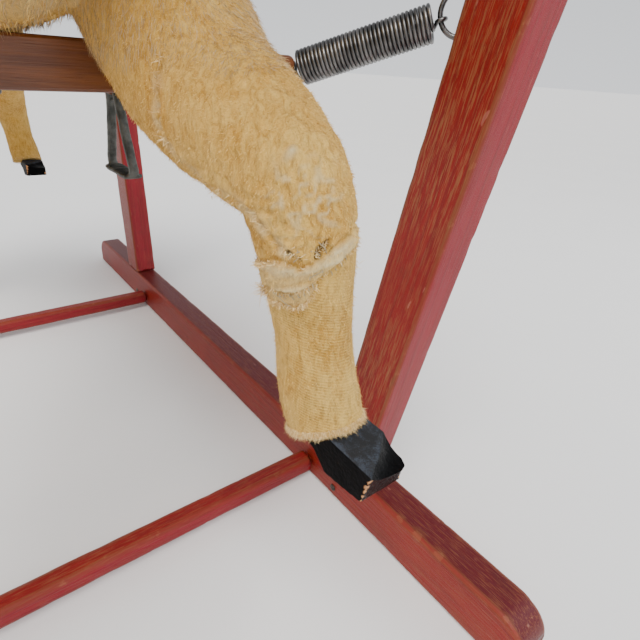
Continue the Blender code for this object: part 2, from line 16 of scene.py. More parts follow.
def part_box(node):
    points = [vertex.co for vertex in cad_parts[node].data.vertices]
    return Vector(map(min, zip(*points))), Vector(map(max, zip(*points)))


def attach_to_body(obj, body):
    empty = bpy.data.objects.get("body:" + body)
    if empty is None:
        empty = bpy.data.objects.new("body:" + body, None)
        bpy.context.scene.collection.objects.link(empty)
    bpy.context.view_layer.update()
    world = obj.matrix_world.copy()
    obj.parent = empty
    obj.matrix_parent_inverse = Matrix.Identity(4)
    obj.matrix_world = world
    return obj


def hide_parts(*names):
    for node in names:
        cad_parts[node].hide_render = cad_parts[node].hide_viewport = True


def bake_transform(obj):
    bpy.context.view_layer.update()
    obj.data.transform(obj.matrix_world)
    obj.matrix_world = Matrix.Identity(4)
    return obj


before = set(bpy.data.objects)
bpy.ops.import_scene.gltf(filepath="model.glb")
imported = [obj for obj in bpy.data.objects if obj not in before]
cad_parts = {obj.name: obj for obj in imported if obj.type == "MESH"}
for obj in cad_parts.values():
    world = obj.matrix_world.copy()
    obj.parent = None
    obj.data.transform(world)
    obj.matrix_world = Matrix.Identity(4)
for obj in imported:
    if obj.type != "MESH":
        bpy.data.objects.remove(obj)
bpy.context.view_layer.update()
CORNERS = [("front_left", 1, 1), ("front_right", 1, -1), ("rear_left", -1, 1), ("rear_right", -1, -1)]
SIDES = [("left", 1), ("right", -1)]
UP = Vector((0.0, 0.0, 1.0))

# The figure, as in the part: x, centre z, half height, half width of the torso
TORSO = [
    (-0.388, 0.600, 0.028, 0.026),
    (-0.376, 0.599, 0.072, 0.064),
    (-0.345, 0.593, 0.106, 0.094),
    (-0.290, 0.584, 0.1255, 0.112),
    (-0.200, 0.580, 0.122, 0.112),
    (-0.060, 0.579, 0.116, 0.107),
    (0.080, 0.579, 0.118, 0.109),
    (0.200, 0.582, 0.1235, 0.112),
    (0.290, 0.585, 0.1265, 0.112),
    (0.345, 0.592, 0.110, 0.098),
    (0.376, 0.600, 0.074, 0.068),
    (0.388, 0.602, 0.028, 0.026),
]
# Limb, neck and head rows: x, y, z, half width in the XZ plane, half width in Y
FORELEG = [
    (0.290, 0.081, 0.512, 0.0490, 0.0450),
    (0.328, 0.090, 0.466, 0.0445, 0.0450),
    (0.362, 0.095, 0.434, 0.0410, 0.0405),
    (0.402, 0.100, 0.4165, 0.0357, 0.0342),
    (0.4310, 0.104, 0.398, 0.0305, 0.0292),
    (0.4385, 0.108, 0.372, 0.0268, 0.0268),
    (0.4410, 0.111, 0.347, 0.0238, 0.0238),
    (0.4425, 0.114, 0.322, 0.0216, 0.0216),
    (0.445, 0.116, 0.298, 0.0222, 0.0222),
    (0.449, 0.1175, 0.276, 0.0236, 0.0236),
    (0.4545, 0.1185, 0.2605, 0.0236, 0.0236),
]
HIND_LEG = [
    (-0.290, 0.076, 0.545, 0.072, 0.044),
    (-0.335, 0.086, 0.480, 0.062, 0.043),
    (-0.378, 0.094, 0.432, 0.048, 0.038),
    (-0.420, 0.101, 0.394, 0.034, 0.030),
    (-0.450, 0.106, 0.366, 0.0275, 0.0262),
    (-0.463, 0.110, 0.340, 0.0240, 0.0238),
    (-0.466, 0.113, 0.316, 0.0215, 0.0215),
    (-0.467, 0.115, 0.297, 0.0222, 0.0222),
    (-0.4655, 0.1175, 0.276, 0.0236, 0.0236),
    (-0.4600, 0.1185, 0.2605, 0.0236, 0.0236),
]
NECK = [
    (0.240, 0.0, 0.630, 0.100, 0.074),
    (0.283, 0.0, 0.708, 0.092, 0.064),
    (0.322, 0.0, 0.785, 0.080, 0.051),
    (0.356, 0.0, 0.855, 0.065, 0.044),
    (0.380, 0.0, 0.908, 0.055, 0.040),
    (0.392, 0.0, 0.938, 0.038, 0.032),
]
HEAD = [
    (0.342, 0.0, 0.952, 0.022, 0.020),
    (0.356, 0.0, 0.946, 0.043, 0.036),
    (0.385, 0.0, 0.932, 0.056, 0.044),
    (0.420, 0.0, 0.914, 0.052, 0.043),
    (0.458, 0.0, 0.893, 0.041, 0.035),
    (0.496, 0.0, 0.872, 0.033, 0.030),
    (0.530, 0.0, 0.853, 0.032, 0.031),
    (0.553, 0.0, 0.840, 0.026, 0.026),
    (0.561, 0.0, 0.836, 0.013, 0.014),
]


# ---------------------------------------------------------------- numbers and curves

def value_noise(points, size, seed=0):
    """Smooth noise from -1 to 1 at each point, with bumps about size metres across."""
    place = np.asarray(points, float) / size + seed * 17.31
    cell = np.floor(place).astype(np.int64)
    share = place - cell
    share = share * share * (3 - 2 * share)
    total = np.zeros(len(place))
    for corner in np.ndindex(2, 2, 2):
        at = cell + corner
        mixed = at[:, 0] * 73856093 ^ at[:, 1] * 19349663 ^ at[:, 2] * 83492791 ^ (seed * 2654435761)
        mixed = ((mixed ^ (mixed >> 13)) * 1274126177) & 0x7FFFFFFF
        mixed ^= mixed >> 16
        weight = np.prod(np.where(corner, share, 1 - share), axis=1)
        total += weight * ((mixed & 0xFFFF) / 32767.5 - 1)
    return total


def smooth_rows(rows, count):
    """Catmull-Rom through the rows of numbers, read at count even steps."""
    rows = np.asarray(rows, float)
    padded = np.vstack([2 * rows[0] - rows[1], rows, 2 * rows[-1] - rows[-2]])
    at = np.linspace(0, len(rows) - 1, count)
    span = np.minimum(at.astype(int), len(rows) - 2)
    t = (at - span)[:, None]
    a, b, c, d = (padded[span + k] for k in range(4))
    return 0.5 * (2 * b + (c - a) * t + (2 * a - 5 * b + 4 * c - d) * t**2 + (3 * b - a - 3 * c + d) * t**3)


def unit(vectors):
    vectors = np.asarray(vectors, float)
    return vectors / np.maximum(np.linalg.norm(vectors, axis=-1, keepdims=True), 1e-12)


def ramp(value, low, high):
    share = np.clip((np.asarray(value, float) - low) / (high - low), 0, 1)
    return share * share * (3 - 2 * share)


def tangents(points):
    points = np.asarray(points, float)
    return unit(np.gradient(points, axis=0))


# ---------------------------------------------------------------- meshes

def link(name, mesh, material=None):
    obj = bpy.data.objects.new(name, mesh)
    bpy.context.scene.collection.objects.link(obj)
    if material is not None:
        mesh.materials.append(material)
    return obj


def build(name, points, faces, material=None):
    mesh = bpy.data.meshes.new(name)
    mesh.from_pydata(np.asarray(points, float).tolist(), [], faces)
    mesh.shade_smooth()
    mesh.update()
    return link(name, mesh, material)


def turn_out(obj):
    """Makes every face of a closed mesh look outwards."""
    work = bmesh.new()
    work.from_mesh(obj.data)
    bmesh.ops.recalc_face_normals(work, faces=work.faces)
    work.to_mesh(obj.data)
    work.free()
    return obj


def ring_faces(rows, columns, closed=False):
    """Quads between equal rings, with a cap on each end unless the last ring meets the first."""
    faces = []
    for i in range(rows if closed else rows - 1):
        here, there = i * columns, ((i + 1) % rows) * columns
        for k in range(columns):
            after = (k + 1) % columns
            faces.append((here + k, here + after, there + after, there + k))
    if not closed:
        faces.append(tuple(range(columns)))
        faces.append(tuple(reversed(range((rows - 1) * columns, rows * columns))))
    return faces


def skin(name, rings, material=None, closed=False):
    """A skin through equal rings of points, given as an array of rows, columns, 3."""
    rings = np.asarray(rings, float)
    rows, columns = rings.shape[:2]
    return turn_out(build(name, rings.reshape(-1, 3), ring_faces(rows, columns, closed), material))


def set_attribute(obj, name, values):
    values = np.asarray(values, np.float32)
    kind = "FLOAT" if values.ndim == 1 else "FLOAT_VECTOR"
    attribute = obj.data.attributes.new(name, kind, "POINT")
    attribute.data.foreach_set("value" if kind == "FLOAT" else "vector", values.ravel())


def set_level(obj, name, value):
    """The same number at every point of a mesh."""
    set_attribute(obj, name, np.full(len(obj.data.vertices), value))


def read_vectors(source, key, count):
    """One vector for each vertex, as an array of count rows."""
    vectors = np.empty(count * 3, np.float32)
    source.foreach_get(key, vectors)
    return vectors.reshape(-1, 3).astype(float)


def get_points(obj):
    return read_vectors(obj.data.vertices, "co", len(obj.data.vertices))


def get_normals(obj):
    return read_vectors(obj.data.vertex_normals, "vector", len(obj.data.vertices))


def set_points(obj, points):
    obj.data.vertices.foreach_set("co", np.asarray(points, np.float32).ravel())
    obj.data.update()


def apply_modifiers(obj):
    graph = bpy.context.evaluated_depsgraph_get()
    mesh = bpy.data.meshes.new_from_object(obj.evaluated_get(graph))
    obj.modifiers.clear()
    obj.data = mesh


def remesh(obj, size, smoothing):
    """One even skin over all that an object holds, relaxed a little."""
    modifier = obj.modifiers.new("remesh", "REMESH")
    modifier.mode = "VOXEL"
    modifier.voxel_size = size
    relax = obj.modifiers.new("relax", "SMOOTH")
    relax.factor = 0.5
    relax.iterations = smoothing
    apply_modifiers(obj)
    obj.data.shade_smooth()


def attach(obj, body, node=None):
    """What a finished piece rides on and the CAD node that it stands for."""
    if node is not None:
        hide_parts(node)
    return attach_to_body(obj, body)


def circle_of(count):
    return np.linspace(0, 2 * math.pi, count, endpoint=False)


def join_shapes(name, shapes, material):
    """One object holding all the faces of several, which are removed."""
    work = bmesh.new()
    for shape in shapes:
        work.from_mesh(shape.data)
        bpy.data.objects.remove(shape)
    mesh = bpy.data.meshes.new(name)
    work.to_mesh(mesh)
    work.free()
    return link(name, mesh, material)


def limb_rings(rows, count, around, side=1.0):
    """Elliptical rings square to a limb's middle line, as rows, columns, 3."""
    rows = smooth_rows(rows, count)
    along = tangents(rows[:, :3])
    flat = unit(np.stack([along[:, 2], 0 * along[:, 2], -along[:, 0]], axis=1))
    angle = circle_of(around)
    rings = rows[:, None, :3] + flat[:, None] * (np.cos(angle)[:, None] * rows[:, None, 3:4])
    rings[:, :, 1] += np.sin(angle) * rows[:, 4:5]
    rings[:, :, 1] *= side
    return rings


def closed_tangents(path):
    return unit(np.roll(path, -1, axis=0) - np.roll(path, 1, axis=0))


def tube_rings(path, radius, around, closed=False):
    """Round rings along a path, turned as little as possible from one to the next."""
    path = np.asarray(path, float)
    along = closed_tangents(path) if closed else tangents(path)
    side = unit(np.cross(along[0], (0.31, 0.22, 0.92)))
    sides = []
    for direction in along:
        side = unit(side - direction * (side @ direction))
        sides.append(side)
    sides = np.array(sides)
    other = np.cross(along, sides)
    angle = circle_of(around)
    radius = np.broadcast_to(np.asarray(radius, float), len(path))[:, None, None]
    turned = sides[:, None] * np.cos(angle)[:, None] + other[:, None] * np.sin(angle)[:, None]
    return path[:, None] + radius * turned


def tube(name, path, radius, material, around=10, closed=False):
    return skin(name, tube_rings(path, radius, around, closed), material, closed)


# Round a strap's section: across, out of its face, and how rubbed the leather is there
STRAP_SECTION = ((-1, -0.45, 1), (-0.93, -1, 0.9), (-0.5, -1, 0.1), (0, -1, 0), (0.5, -1, 0.1),
                 (0.93, -1, 0.9), (1, -0.45, 1), (1, 0.45, 1), (0.93, 1, 0.9), (0.5, 1, 0.1), (0, 1, 0), (-0.5, 1, 0.1),
                 (-0.93, 1, 0.9), (-1, 0.45, 1))


def strap_rings(path, outward, width, thickness):
    """Rings of a flat strap with eased edges, its broad side square to outward."""
    path = np.asarray(path, float)
    along = tangents(path)
    outward = unit(outward - along * np.sum(outward * along, axis=1, keepdims=True))
    across = np.cross(along, outward)
    rings = [path + across * a * width / 2 + outward * b * thickness / 2 for a, b, _ in STRAP_SECTION]
    return np.stack(rings, axis=1)


def strap(name, path, outward, width, thickness):
    """A flat leather strap, rubbed along its edges."""
    leather_strap = skin(name, strap_rings(path, outward, width, thickness), STRAP_LEATHER)
    set_attribute(leather_strap, "edge", np.tile([rubbed for _, _, rubbed in STRAP_SECTION], len(path)))
    return leather_strap


def cut_below(obj, level):
    """Takes away what is under a level and closes the cut."""
    work = bmesh.new()
    work.from_mesh(obj.data)
    geometry = work.verts[:] + work.edges[:] + work.faces[:]
    cut = bmesh.ops.bisect_plane(work, geom=geometry, plane_co=(0, 0, level), plane_no=(0, 0, 1),
                                 clear_inner=True)
    edges = [item for item in cut["geom_cut"] if isinstance(item, bmesh.types.BMEdge)]
    bmesh.ops.contextual_create(work, geom=edges)
    work.to_mesh(obj.data)
    work.free()


# ---------------------------------------------------------------- hair and stitches

def surface_samples(obj, count, seed, keep=None):
    """Random points on a mesh by area, with their smooth normals. keep(points, normals) says which stay."""
    mesh = obj.data
    mesh.calc_loop_triangles()
    corners = np.empty(len(mesh.loop_triangles) * 3, np.int32)
    mesh.loop_triangles.foreach_get("vertices", corners)
    corners = corners.reshape(-1, 3)
    points, normals = get_points(obj), get_normals(obj)
    a, b, c = (points[corners[:, k]] for k in range(3))
    area = np.linalg.norm(np.cross(b - a, c - a), axis=1)
    rng = np.random.default_rng(seed)
    picked = rng.choice(len(corners), count, p=area / area.sum())
    u, v = rng.random((2, count, 1))
    fold = (u + v) > 1
    u, v = np.where(fold, 1 - u, u), np.where(fold, 1 - v, v)
    spots = a[picked] + u * (b - a)[picked] + v * (c - a)[picked]
    na, nb, nc = (normals[corners[picked, k]] for k in range(3))
    facing = unit(na + u * (nb - na) + v * (nc - na))
    if keep is not None:
        chosen = keep(spots, facing)
        spots, facing = spots[chosen], facing[chosen]
    return spots, facing


def ribbons(name, points, shade, steps, material):
    """Flat hairs of steps pieces, as points two by two from root to tip, with a shade for each point."""
    first = (np.arange(len(points)) * 2 * (steps + 1))[:, None]
    quads = np.concatenate([first + np.array([2 * k, 2 * k + 1, 2 * k + 3, 2 * k + 2]) for k in range(steps)])
    obj = build(name, points.reshape(-1, 3), quads.tolist(), material)
    set_attribute(obj, "shade", shade)
    return obj


def hairs(name, roots, directions, lengths, width, material, seed, curl=0.15, steps=3):
    """Thin tapering blades from the roots, with a length for each."""
    rng = np.random.default_rng(seed)
    count = len(roots)
    lengths = lengths[:, None]
    directions = unit(directions + rng.normal(0, curl, (count, 3)))
    across = unit(np.cross(directions, rng.normal(0, 1, (count, 3))))
    bend = rng.normal(0, 1, (count, 3)) * curl
    rows = []
    for step in range(steps + 1):
        t = step / steps
        middle = roots + lengths * (directions * t + bend * t * t * 0.5)
        half = width / 2 * (1 - 0.85 * t)
        rows += [middle - across * half, middle + across * half]
    shade = np.repeat(rng.random(count), 2 * (steps + 1))
    return ribbons(name, np.stack(rows, axis=1), shade, steps, material)


def strands(name, guides, per_guide, seed, steps=12):
    """Ribbons of horsehair that follow guide curves; a guide is rows of x, y, z and its bundle's radius."""
    width = 0.0011
    rng = np.random.default_rng(seed)
    share_along = np.linspace(0, 1, steps + 1)
    taper = np.minimum(1.0, (1.05 - share_along) * 4)[:, None]
    points, shade = [], []
    for guide in guides:
        rows = smooth_rows(guide, steps + 1)
        path, radius = rows[:, :3], rows[:, 3]
        along = tangents(path)
        side = unit(np.cross(along, (0.13, 0.97, 0.21)))
        other = np.cross(along, side)
        for _ in range(per_guide):
            angle, reach = rng.random() * 2 * math.pi, math.sqrt(rng.random())
            wave = rng.normal(0, 0.18, 2)
            turn = angle + np.linspace(0, rng.normal(0, 0.9), steps + 1)
            share = reach * (1 + wave[0] * np.sin(np.linspace(0, 5 + 3 * wave[1], steps + 1)))
            around = side * np.cos(turn)[:, None] + other * np.sin(turn)[:, None]
            middle = path + around * (radius * share)[:, None]
            flat = unit(np.cross(along, rng.normal(0, 1, 3))) * width / 2 * taper
            points.append(np.stack([middle - flat, middle + flat], axis=1))
            shade.append(np.full(2 * (steps + 1), rng.random()))
    return ribbons(name, np.array(points), np.concatenate(shade), steps, HORSEHAIR)


def stitches(name, path, outward, length, gap, radius, material, body="horse"):
    """A row of short thread loops along a path, each standing a little off the surface."""
    path = np.asarray(path, float)
    travelled = np.concatenate([[0], np.cumsum(np.linalg.norm(np.diff(path, axis=0), axis=1))])
    outward = np.broadcast_to(np.asarray(outward, float), path.shape)
    height = np.array([-0.6, 0.5, 0.9, 0.9, 0.5, -0.6]) * radius
    points, faces = [], []
    start = gap / 2
    while start + length < travelled[-1]:
        at = np.linspace(start, start + length, len(height))
        middle, lift = (np.stack([np.interp(at, travelled, rows[:, k]) for k in range(3)], axis=1)
                        for rows in (path, outward))
        middle += unit(lift) * height[:, None]
        rings = tube_rings(middle, radius, 6)
        base = len(points)
        points += rings.reshape(-1, 3).tolist()
        faces += [tuple(index + base for index in face) for face in ring_faces(6, 6)]
        start += length + gap
    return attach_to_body(turn_out(build(name, points, faces, material)), body)


# ---------------------------------------------------------------- materials

class Surface:
    """A Principled material and short calls that add pattern nodes to it."""

    def __init__(self, name, **constants):
        self.material = bpy.data.materials.new(name)
        self.material.use_nodes = True
        self.tree = self.material.node_tree
        self.shader = self.tree.nodes["Principled BSDF"]
        self.place = self.tree.nodes.new("ShaderNodeTexCoord").outputs["Object"]
        for key, value in constants.items():
            self.shader.inputs[key.replace("_", " ")].default_value = value

    def add(self, kind, inputs, output=0, **settings):
        node = self.tree.nodes.new("ShaderNode" + kind)
        for key, value in settings.items():
            setattr(node, key, value)
        for key, value in inputs.items():
            if isinstance(value, bpy.types.NodeSocket):
                self.tree.links.new(value, node.inputs[key])
            else:
                node.inputs[key].default_value = value
        return node.outputs[output]

    def attribute(self, name, output="Fac"):
        return self.add("Attribute", {}, output, attribute_name=name)

    def stretched(self, scale, place=None, turned=(0.0, 0.0, 0.0)):
        return self.add("Mapping", {"Vector": place or self.place, "Scale": scale, "Rotation": turned})

    def noise(self, scale, detail=3.0, rough=0.55, place=None, distortion=0.0):
        return self.add("TexNoise", {"Vector": place or self.place, "Scale": scale, "Detail": detail,
                                     "Roughness": rough, "Distortion": distortion})

    def wave(self, scale, place, direction="X", distortion=0.0):
        return self.add("TexWave", {"Vector": place, "Scale": scale, "Distortion": distortion,
                                    "Detail": 1.0, "Detail Scale": 1.5}, bands_direction=direction)

    def cells(self, scale):
        return self.add("TexVoronoi", {"Vector": self.place, "Scale": scale}, feature="DISTANCE_TO_EDGE")

    def span(self, value, low, high):
        return self.add("MapRange", {"Value": value, "From Min": low, "From Max": high},
                        interpolation_type="SMOOTHSTEP")

    def math(self, operation, a, b=0.0):
        return self.add("Math", {0: a, 1: b}, operation=operation, use_clamp=operation in ("ADD", "SUBTRACT"))

    def mix(self, share, a, b, blend="MIX"):
        """a and b are colours, as a colour socket or three numbers."""
        given = [value if isinstance(value, bpy.types.NodeSocket) else (*value, 1.0) for value in (a, b)]
        return self.add("Mix", {0: share, 6: given[0], 7: given[1]}, 2, data_type="RGBA", blend_type=blend)

    def bump(self, height, distance, normal=None):
        inputs = {"Height": height, "Distance": distance, "Strength": 1.0}
        if normal is not None:
            inputs["Normal"] = normal
        return self.add("Bump", inputs)

    def finish(self, colour=None, roughness=None, normal=None, metallic=None):
        for key, value in (("Base Color", colour), ("Roughness", roughness), ("Normal", normal),
                           ("Metallic", metallic)):
            if value is not None:
                self.tree.links.new(value, self.shader.inputs[key])
        return self.material


def times(factor, colour):
    return tuple(factor * part for part in colour)


def red_paint():
    """Thin red paint over pine: lengthwise grain showing through, rubbed away on the arrises."""
    s = Surface("worn_red_paint", Specular_IOR_Level=0.24)
    grain = s.attribute("grain", "Vector")
    edge = s.attribute("edge")
    tone = s.attribute("tone")
    worn = s.attribute("worn")
    cloud = s.noise(14.0, 4.0, 0.6, grain)
    fine = s.noise(1.0, 5.0, 0.65, s.stretched((1080.0, 1080.0, 52.0), grain), 0.3)
    coarse = s.noise(1.0, 4.0, 0.6, s.stretched((300.0, 300.0, 7.0), grain), 0.6)
    # Each face's tone mixes brown red towards pinker red, a painted sheen on the faces that look forwards and back; a
    # tone above 1 darkens a whole face towards a dusky red (the rails' tops).
    brown_red = s.mix(cloud, (0.15, 0.0065, 0.0050), (0.31, 0.0145, 0.0075))
    sheen_pink_red = s.mix(cloud, (0.20, 0.0065, 0.0145), (0.29, 0.0115, 0.0220))
    paint = s.mix(s.span(tone, 0.0, 1.0), brown_red, sheen_pink_red)
    paint = s.mix(s.span(tone, 1.0, 1.6), paint, (0.085, 0.0085, 0.013))
    paint = s.mix(s.math("MULTIPLY", s.span(coarse, 0.42, 0.66), 0.40), paint, (0.10, 0.008, 0.008))
    streak = s.math("MULTIPLY", s.span(fine, 0.49, 0.60), s.math("MULTIPLY", worn, 0.90))
    paint = s.mix(streak, paint, (0.27, 0.105, 0.042))
    blotch = s.math("MULTIPLY", s.noise(55.0, 5.0, 0.7, grain), 0.62)
    rubbed = s.math("ADD", s.math("MULTIPLY", edge, 0.60), blotch)
    bare = s.span(rubbed, 0.97, 1.08)
    line = s.math("MULTIPLY", s.span(edge, 0.55, 0.98), s.math("MULTIPLY", worn, 0.85))
    paint = s.mix(line, paint, (0.19, 0.070, 0.028))
    wood = s.mix(s.span(fine, 0.35, 0.65), (0.28, 0.11, 0.040), (0.52, 0.26, 0.12))
    colour = s.mix(s.math("MULTIPLY", bare, 0.85), paint, wood)
    scored = s.noise(1.0, 2.0, 0.4, s.stretched((160.0, 700.0, 40.0), grain, (0.3, 0.5, 0.2)))
    scratch = s.span(scored, 0.735, 0.76)
    colour = s.mix(s.math("MULTIPLY", scratch, 0.25), colour, (0.60, 0.28, 0.20))
    dirt = s.span(s.noise(38.0, 5.0, 0.7), 0.56, 0.75)
    colour = s.mix(s.math("MULTIPLY", dirt, 0.28), colour, (0.05, 0.018, 0.014))
    roughness = s.add("MapRange", {"Value": s.math("ADD", fine, bare), "From Min": 0.3, "From Max": 1.3,
                                   "To Min": 0.34, "To Max": 0.62})
    normal = s.bump(fine, 0.00035)
    normal = s.bump(coarse, 0.0005, normal)
    return s.finish(colour, roughness, normal)


def varnished_wood():
    s = Surface("varnished_wood", Specular_IOR_Level=0.5, Coat_Weight=0.25, Coat_Roughness=0.22)
    figure = s.noise(1.0, 5.0, 0.6, s.stretched((90.0, 5.0, 90.0)), 1.4)
    pores = s.noise(1.0, 4.0, 0.6, s.stretched((900.0, 26.0, 900.0)))
    colour = s.mix(s.span(figure, 0.32, 0.68), (0.10, 0.026, 0.0055), (0.20, 0.062, 0.014))
    colour = s.mix(s.math("MULTIPLY", s.span(pores, 0.55, 0.72), 0.6), colour, (0.09, 0.026, 0.008))
    stain = s.span(s.noise(26.0, 4.0), 0.58, 0.72)
    colour = s.mix(s.math("MULTIPLY", stain, 0.5), colour, (0.06, 0.022, 0.010))
    roughness = s.add("MapRange", {"Value": s.noise(40.0, 4.0), "To Min": 0.25, "To Max": 0.55})
    return s.finish(colour, roughness, s.bump(pores, 0.0004))


def steel(name, dark, bright, rust):
    s = Surface(name)
    cloud = s.noise(60.0, 4.0, 0.6)
    fine = s.noise(900.0, 3.0, 0.6)
    colour = s.mix(s.span(cloud, 0.35, 0.65), dark, bright)
    specks = s.math("MULTIPLY", s.noise(330.0, 4.0, 0.7), 0.5)
    spots = s.span(s.math("ADD", s.math("MULTIPLY", cloud, 0.6), specks), 0.62, 0.72)
    stain = s.math("MULTIPLY", spots, rust)
    colour = s.mix(stain, colour, (0.10, 0.045, 0.022))
    metallic = s.add("MapRange", {"Value": stain, "To Min": 1.0, "To Max": 0.2})
    uneven = s.math("ADD", s.math("MULTIPLY", fine, 0.6), stain)
    roughness = s.add("MapRange", {"Value": uneven, "From Min": 0.15, "From Max": 0.9,
                                   "To Min": 0.26, "To Max": 0.70})
    return s.finish(colour, roughness, s.bump(fine, 0.00012), metallic)


def mohair(name, base, light, shadow, rib=0.0):
    """Worn mohair plush: brushed pile, the woven ground showing where it is thin."""
    s = Surface(name, Roughness=0.92, Sheen_Weight=0.22, Sheen_Roughness=0.40,
                Sheen_Tint=(1.0, 0.80, 0.50, 1.0), Specular_IOR_Level=0.12)
    worn = s.attribute("worn")
    hollow = s.attribute("hollow")
    patches = s.noise(26.0, 4.0, 0.6)
    brushed = s.noise(1.0, 5.0, 0.65, s.stretched((260.0, 260.0, 90.0)), 1.2)
    pile = s.noise(1500.0, 3.0, 0.7)
    colour = s.mix(s.math("MULTIPLY", s.span(patches, 0.34, 0.70), 0.48), base, light)
    # The brushed pile's glints and dark streaks are painted: sheen towards the light colour, shade towards the shadow
    # colour.
    colour = s.mix(s.math("MULTIPLY", s.span(brushed, 0.40, 0.70), 0.50), colour, light)
    colour = s.mix(s.math("MULTIPLY", s.span(brushed, 0.50, 0.30), 0.42), colour, shadow)
    colour = s.mix(s.math("MULTIPLY", s.span(pile, 0.50, 0.75), 0.45), colour, light)
    colour = s.mix(s.math("MULTIPLY", s.span(pile, 0.46, 0.28), 0.45), colour, shadow)
    warp = s.wave(210.0, s.stretched((1.0, 0.7, 0.15)), "X", 1.2)
    ground = s.math("MULTIPLY", s.span(s.noise(34.0, 3.0, 0.5), 0.46, 0.64), s.math("MULTIPLY", warp, 0.14))
    colour = s.mix(ground, colour, shadow)
    normal = None
    if rib:
        thin = s.attribute("thin")
        cord = s.math("SINE", s.attribute("rib"))
        broken = s.span(s.noise(420.0, 3.0, 0.6), 0.36, 0.60)
        cord_highlight = s.math("MULTIPLY", s.math("MULTIPLY", s.span(cord, 0.0, 0.9), broken), thin)
        sunk = s.math("MULTIPLY", s.span(cord, 0.0, -0.9), thin)
        # The raised cords get a painted highlight and the grooves between them painted shade.
        colour = s.mix(s.math("MULTIPLY", cord_highlight, 0.42), colour, times(1.10, light))
        colour = s.mix(s.math("MULTIPLY", sunk, 0.16), colour, shadow)
        normal = s.bump(s.math("MULTIPLY", cord, s.math("MULTIPLY", thin, broken)), 0.00035)
    colour = s.mix(s.math("MULTIPLY", worn, 0.80), colour, (0.80, 0.67, 0.40))
    # hollow: painted dark shade inside the slits, the nostrils and the mouth groove.
    colour = s.mix(s.math("MULTIPLY", hollow, 0.85), colour, (0.10, 0.045, 0.018))
    normal = s.bump(brushed, 0.0020, normal)
    normal = s.bump(pile, 0.0007, normal)
    return s.finish(colour, None, normal)


def hair(name, dark, light):
    s = Surface(name, Roughness=0.62, Sheen_Weight=0.25, Sheen_Roughness=0.4, Specular_IOR_Level=0.35)
    shade = s.attribute("shade")
    tone = s.math("ADD", s.math("MULTIPLY", shade, 0.75), s.math("MULTIPLY", s.noise(45.0, 3.0), 0.35))
    return s.finish(s.mix(s.span(tone, 0.12, 0.95), dark, light))


def black_paint():
    """Thick black paint on a wooden block, chipped to the bare wood, with a painted blue-grey sky sheen speckled over
    its top faces.
    """
    s = Surface("chipped_black_paint", Specular_IOR_Level=0.05)
    bare = s.attribute("bare")
    scuff_and_sky_sheen = s.attribute("scuff_and_sky_sheen")
    gloss = s.attribute("gloss")
    cloud = s.noise(150.0, 4.0, 0.65)
    speck = s.noise(2200.0, 3.0, 0.7)
    sky_sheen_speckle = s.math("MULTIPLY", scuff_and_sky_sheen, s.span(s.math("ADD", s.math("MULTIPLY", cloud, 0.6),
                                                    s.math("MULTIPLY", speck, 0.5)), 0.52, 0.66))
    colour = s.mix(cloud, (0.0010, 0.0010, 0.0011), (0.0028, 0.0028, 0.0032))
    # The top faces and the rim lines get a painted blue-grey sheen of the sky, grey first and then speckled bluish.
    colour = s.mix(s.math("MULTIPLY", scuff_and_sky_sheen, 0.6), colour, (0.050, 0.053, 0.058))
    colour = s.mix(s.math("MULTIPLY", sky_sheen_speckle, 0.60), colour, (0.080, 0.100, 0.140))
    wood = s.mix(s.noise(500.0, 4.0), (0.34, 0.13, 0.045), (0.78, 0.42, 0.20))
    colour = s.mix(bare, colour, wood)
    dull = s.add("MapRange", {"Value": s.math("ADD", scuff_and_sky_sheen, bare), "To Min": 0.58, "To Max": 0.68})
    roughness = s.math("SUBTRACT", dull, s.math("MULTIPLY", gloss, 0.42))
    normal = s.bump(s.noise(420.0, 4.0, 0.6), 0.0005)
    return s.finish(colour, roughness, normal)


def leather(name, dark, light):
    s = Surface(name, Specular_IOR_Level=0.45)
    cells = s.cells(620.0)
    creases = s.noise(75.0, 5.0, 0.65, distortion=0.8)
    cloud = s.noise(16.0, 4.0, 0.6)
    colour = s.mix(s.span(cloud, 0.34, 0.68), dark, light)
    colour = s.mix(s.math("MULTIPLY", s.span(creases, 0.56, 0.74), 0.55), colour, times(2.1, light))
    colour = s.mix(s.math("MULTIPLY", s.span(cells, 0.12, 0.0), 0.5), colour, times(0.35, dark))
    rubbed = s.span(s.attribute("edge"), 0.45, 0.95)
    colour = s.mix(s.math("MULTIPLY", rubbed, 0.6), colour, times(2.6, light))
    roughness = s.add("MapRange", {"Value": creases, "From Min": 0.3, "From Max": 0.75,
                                   "To Min": 0.38, "To Max": 0.66})
    normal = s.bump(s.span(cells, 0.0, 0.2), 0.0003)
    normal = s.bump(creases, 0.0012, normal)
    return s.finish(colour, roughness, normal)


def felt(name, dark, light):
    s = Surface(name, Roughness=0.95, Sheen_Weight=0.35, Sheen_Roughness=0.5, Specular_IOR_Level=0.12)
    fibres = s.noise(1.0, 5.0, 0.75, s.stretched((700.0, 380.0, 520.0)), 1.8)
    cloud = s.noise(20.0, 4.0, 0.6)
    colour = s.mix(s.span(cloud, 0.3, 0.7), dark, light)
    colour = s.mix(s.math("MULTIPLY", s.span(fibres, 0.52, 0.72), 0.5), colour, times(1.7, light))
    colour = s.mix(s.math("MULTIPLY", s.span(fibres, 0.46, 0.30), 0.5), colour, times(0.4, dark))
    normal = s.bump(fibres, 0.0010)
    return s.finish(colour, None, s.bump(cloud, 0.003, normal))


def cast_iron():
    s = Surface("cast_iron", Metallic=0.75)
    pits = s.noise(520.0, 4.0, 0.7)
    cloud = s.noise(70.0, 4.0, 0.6)
    colour = s.mix(s.span(cloud, 0.35, 0.65), (0.052, 0.056, 0.050), (0.125, 0.128, 0.115))
    colour = s.mix(s.math("MULTIPLY", s.span(pits, 0.58, 0.75), 0.6), colour, (0.085, 0.045, 0.026))
    roughness = s.add("MapRange", {"Value": pits, "To Min": 0.36, "To Max": 0.68})
    return s.finish(colour, roughness, s.bump(pits, 0.0006))


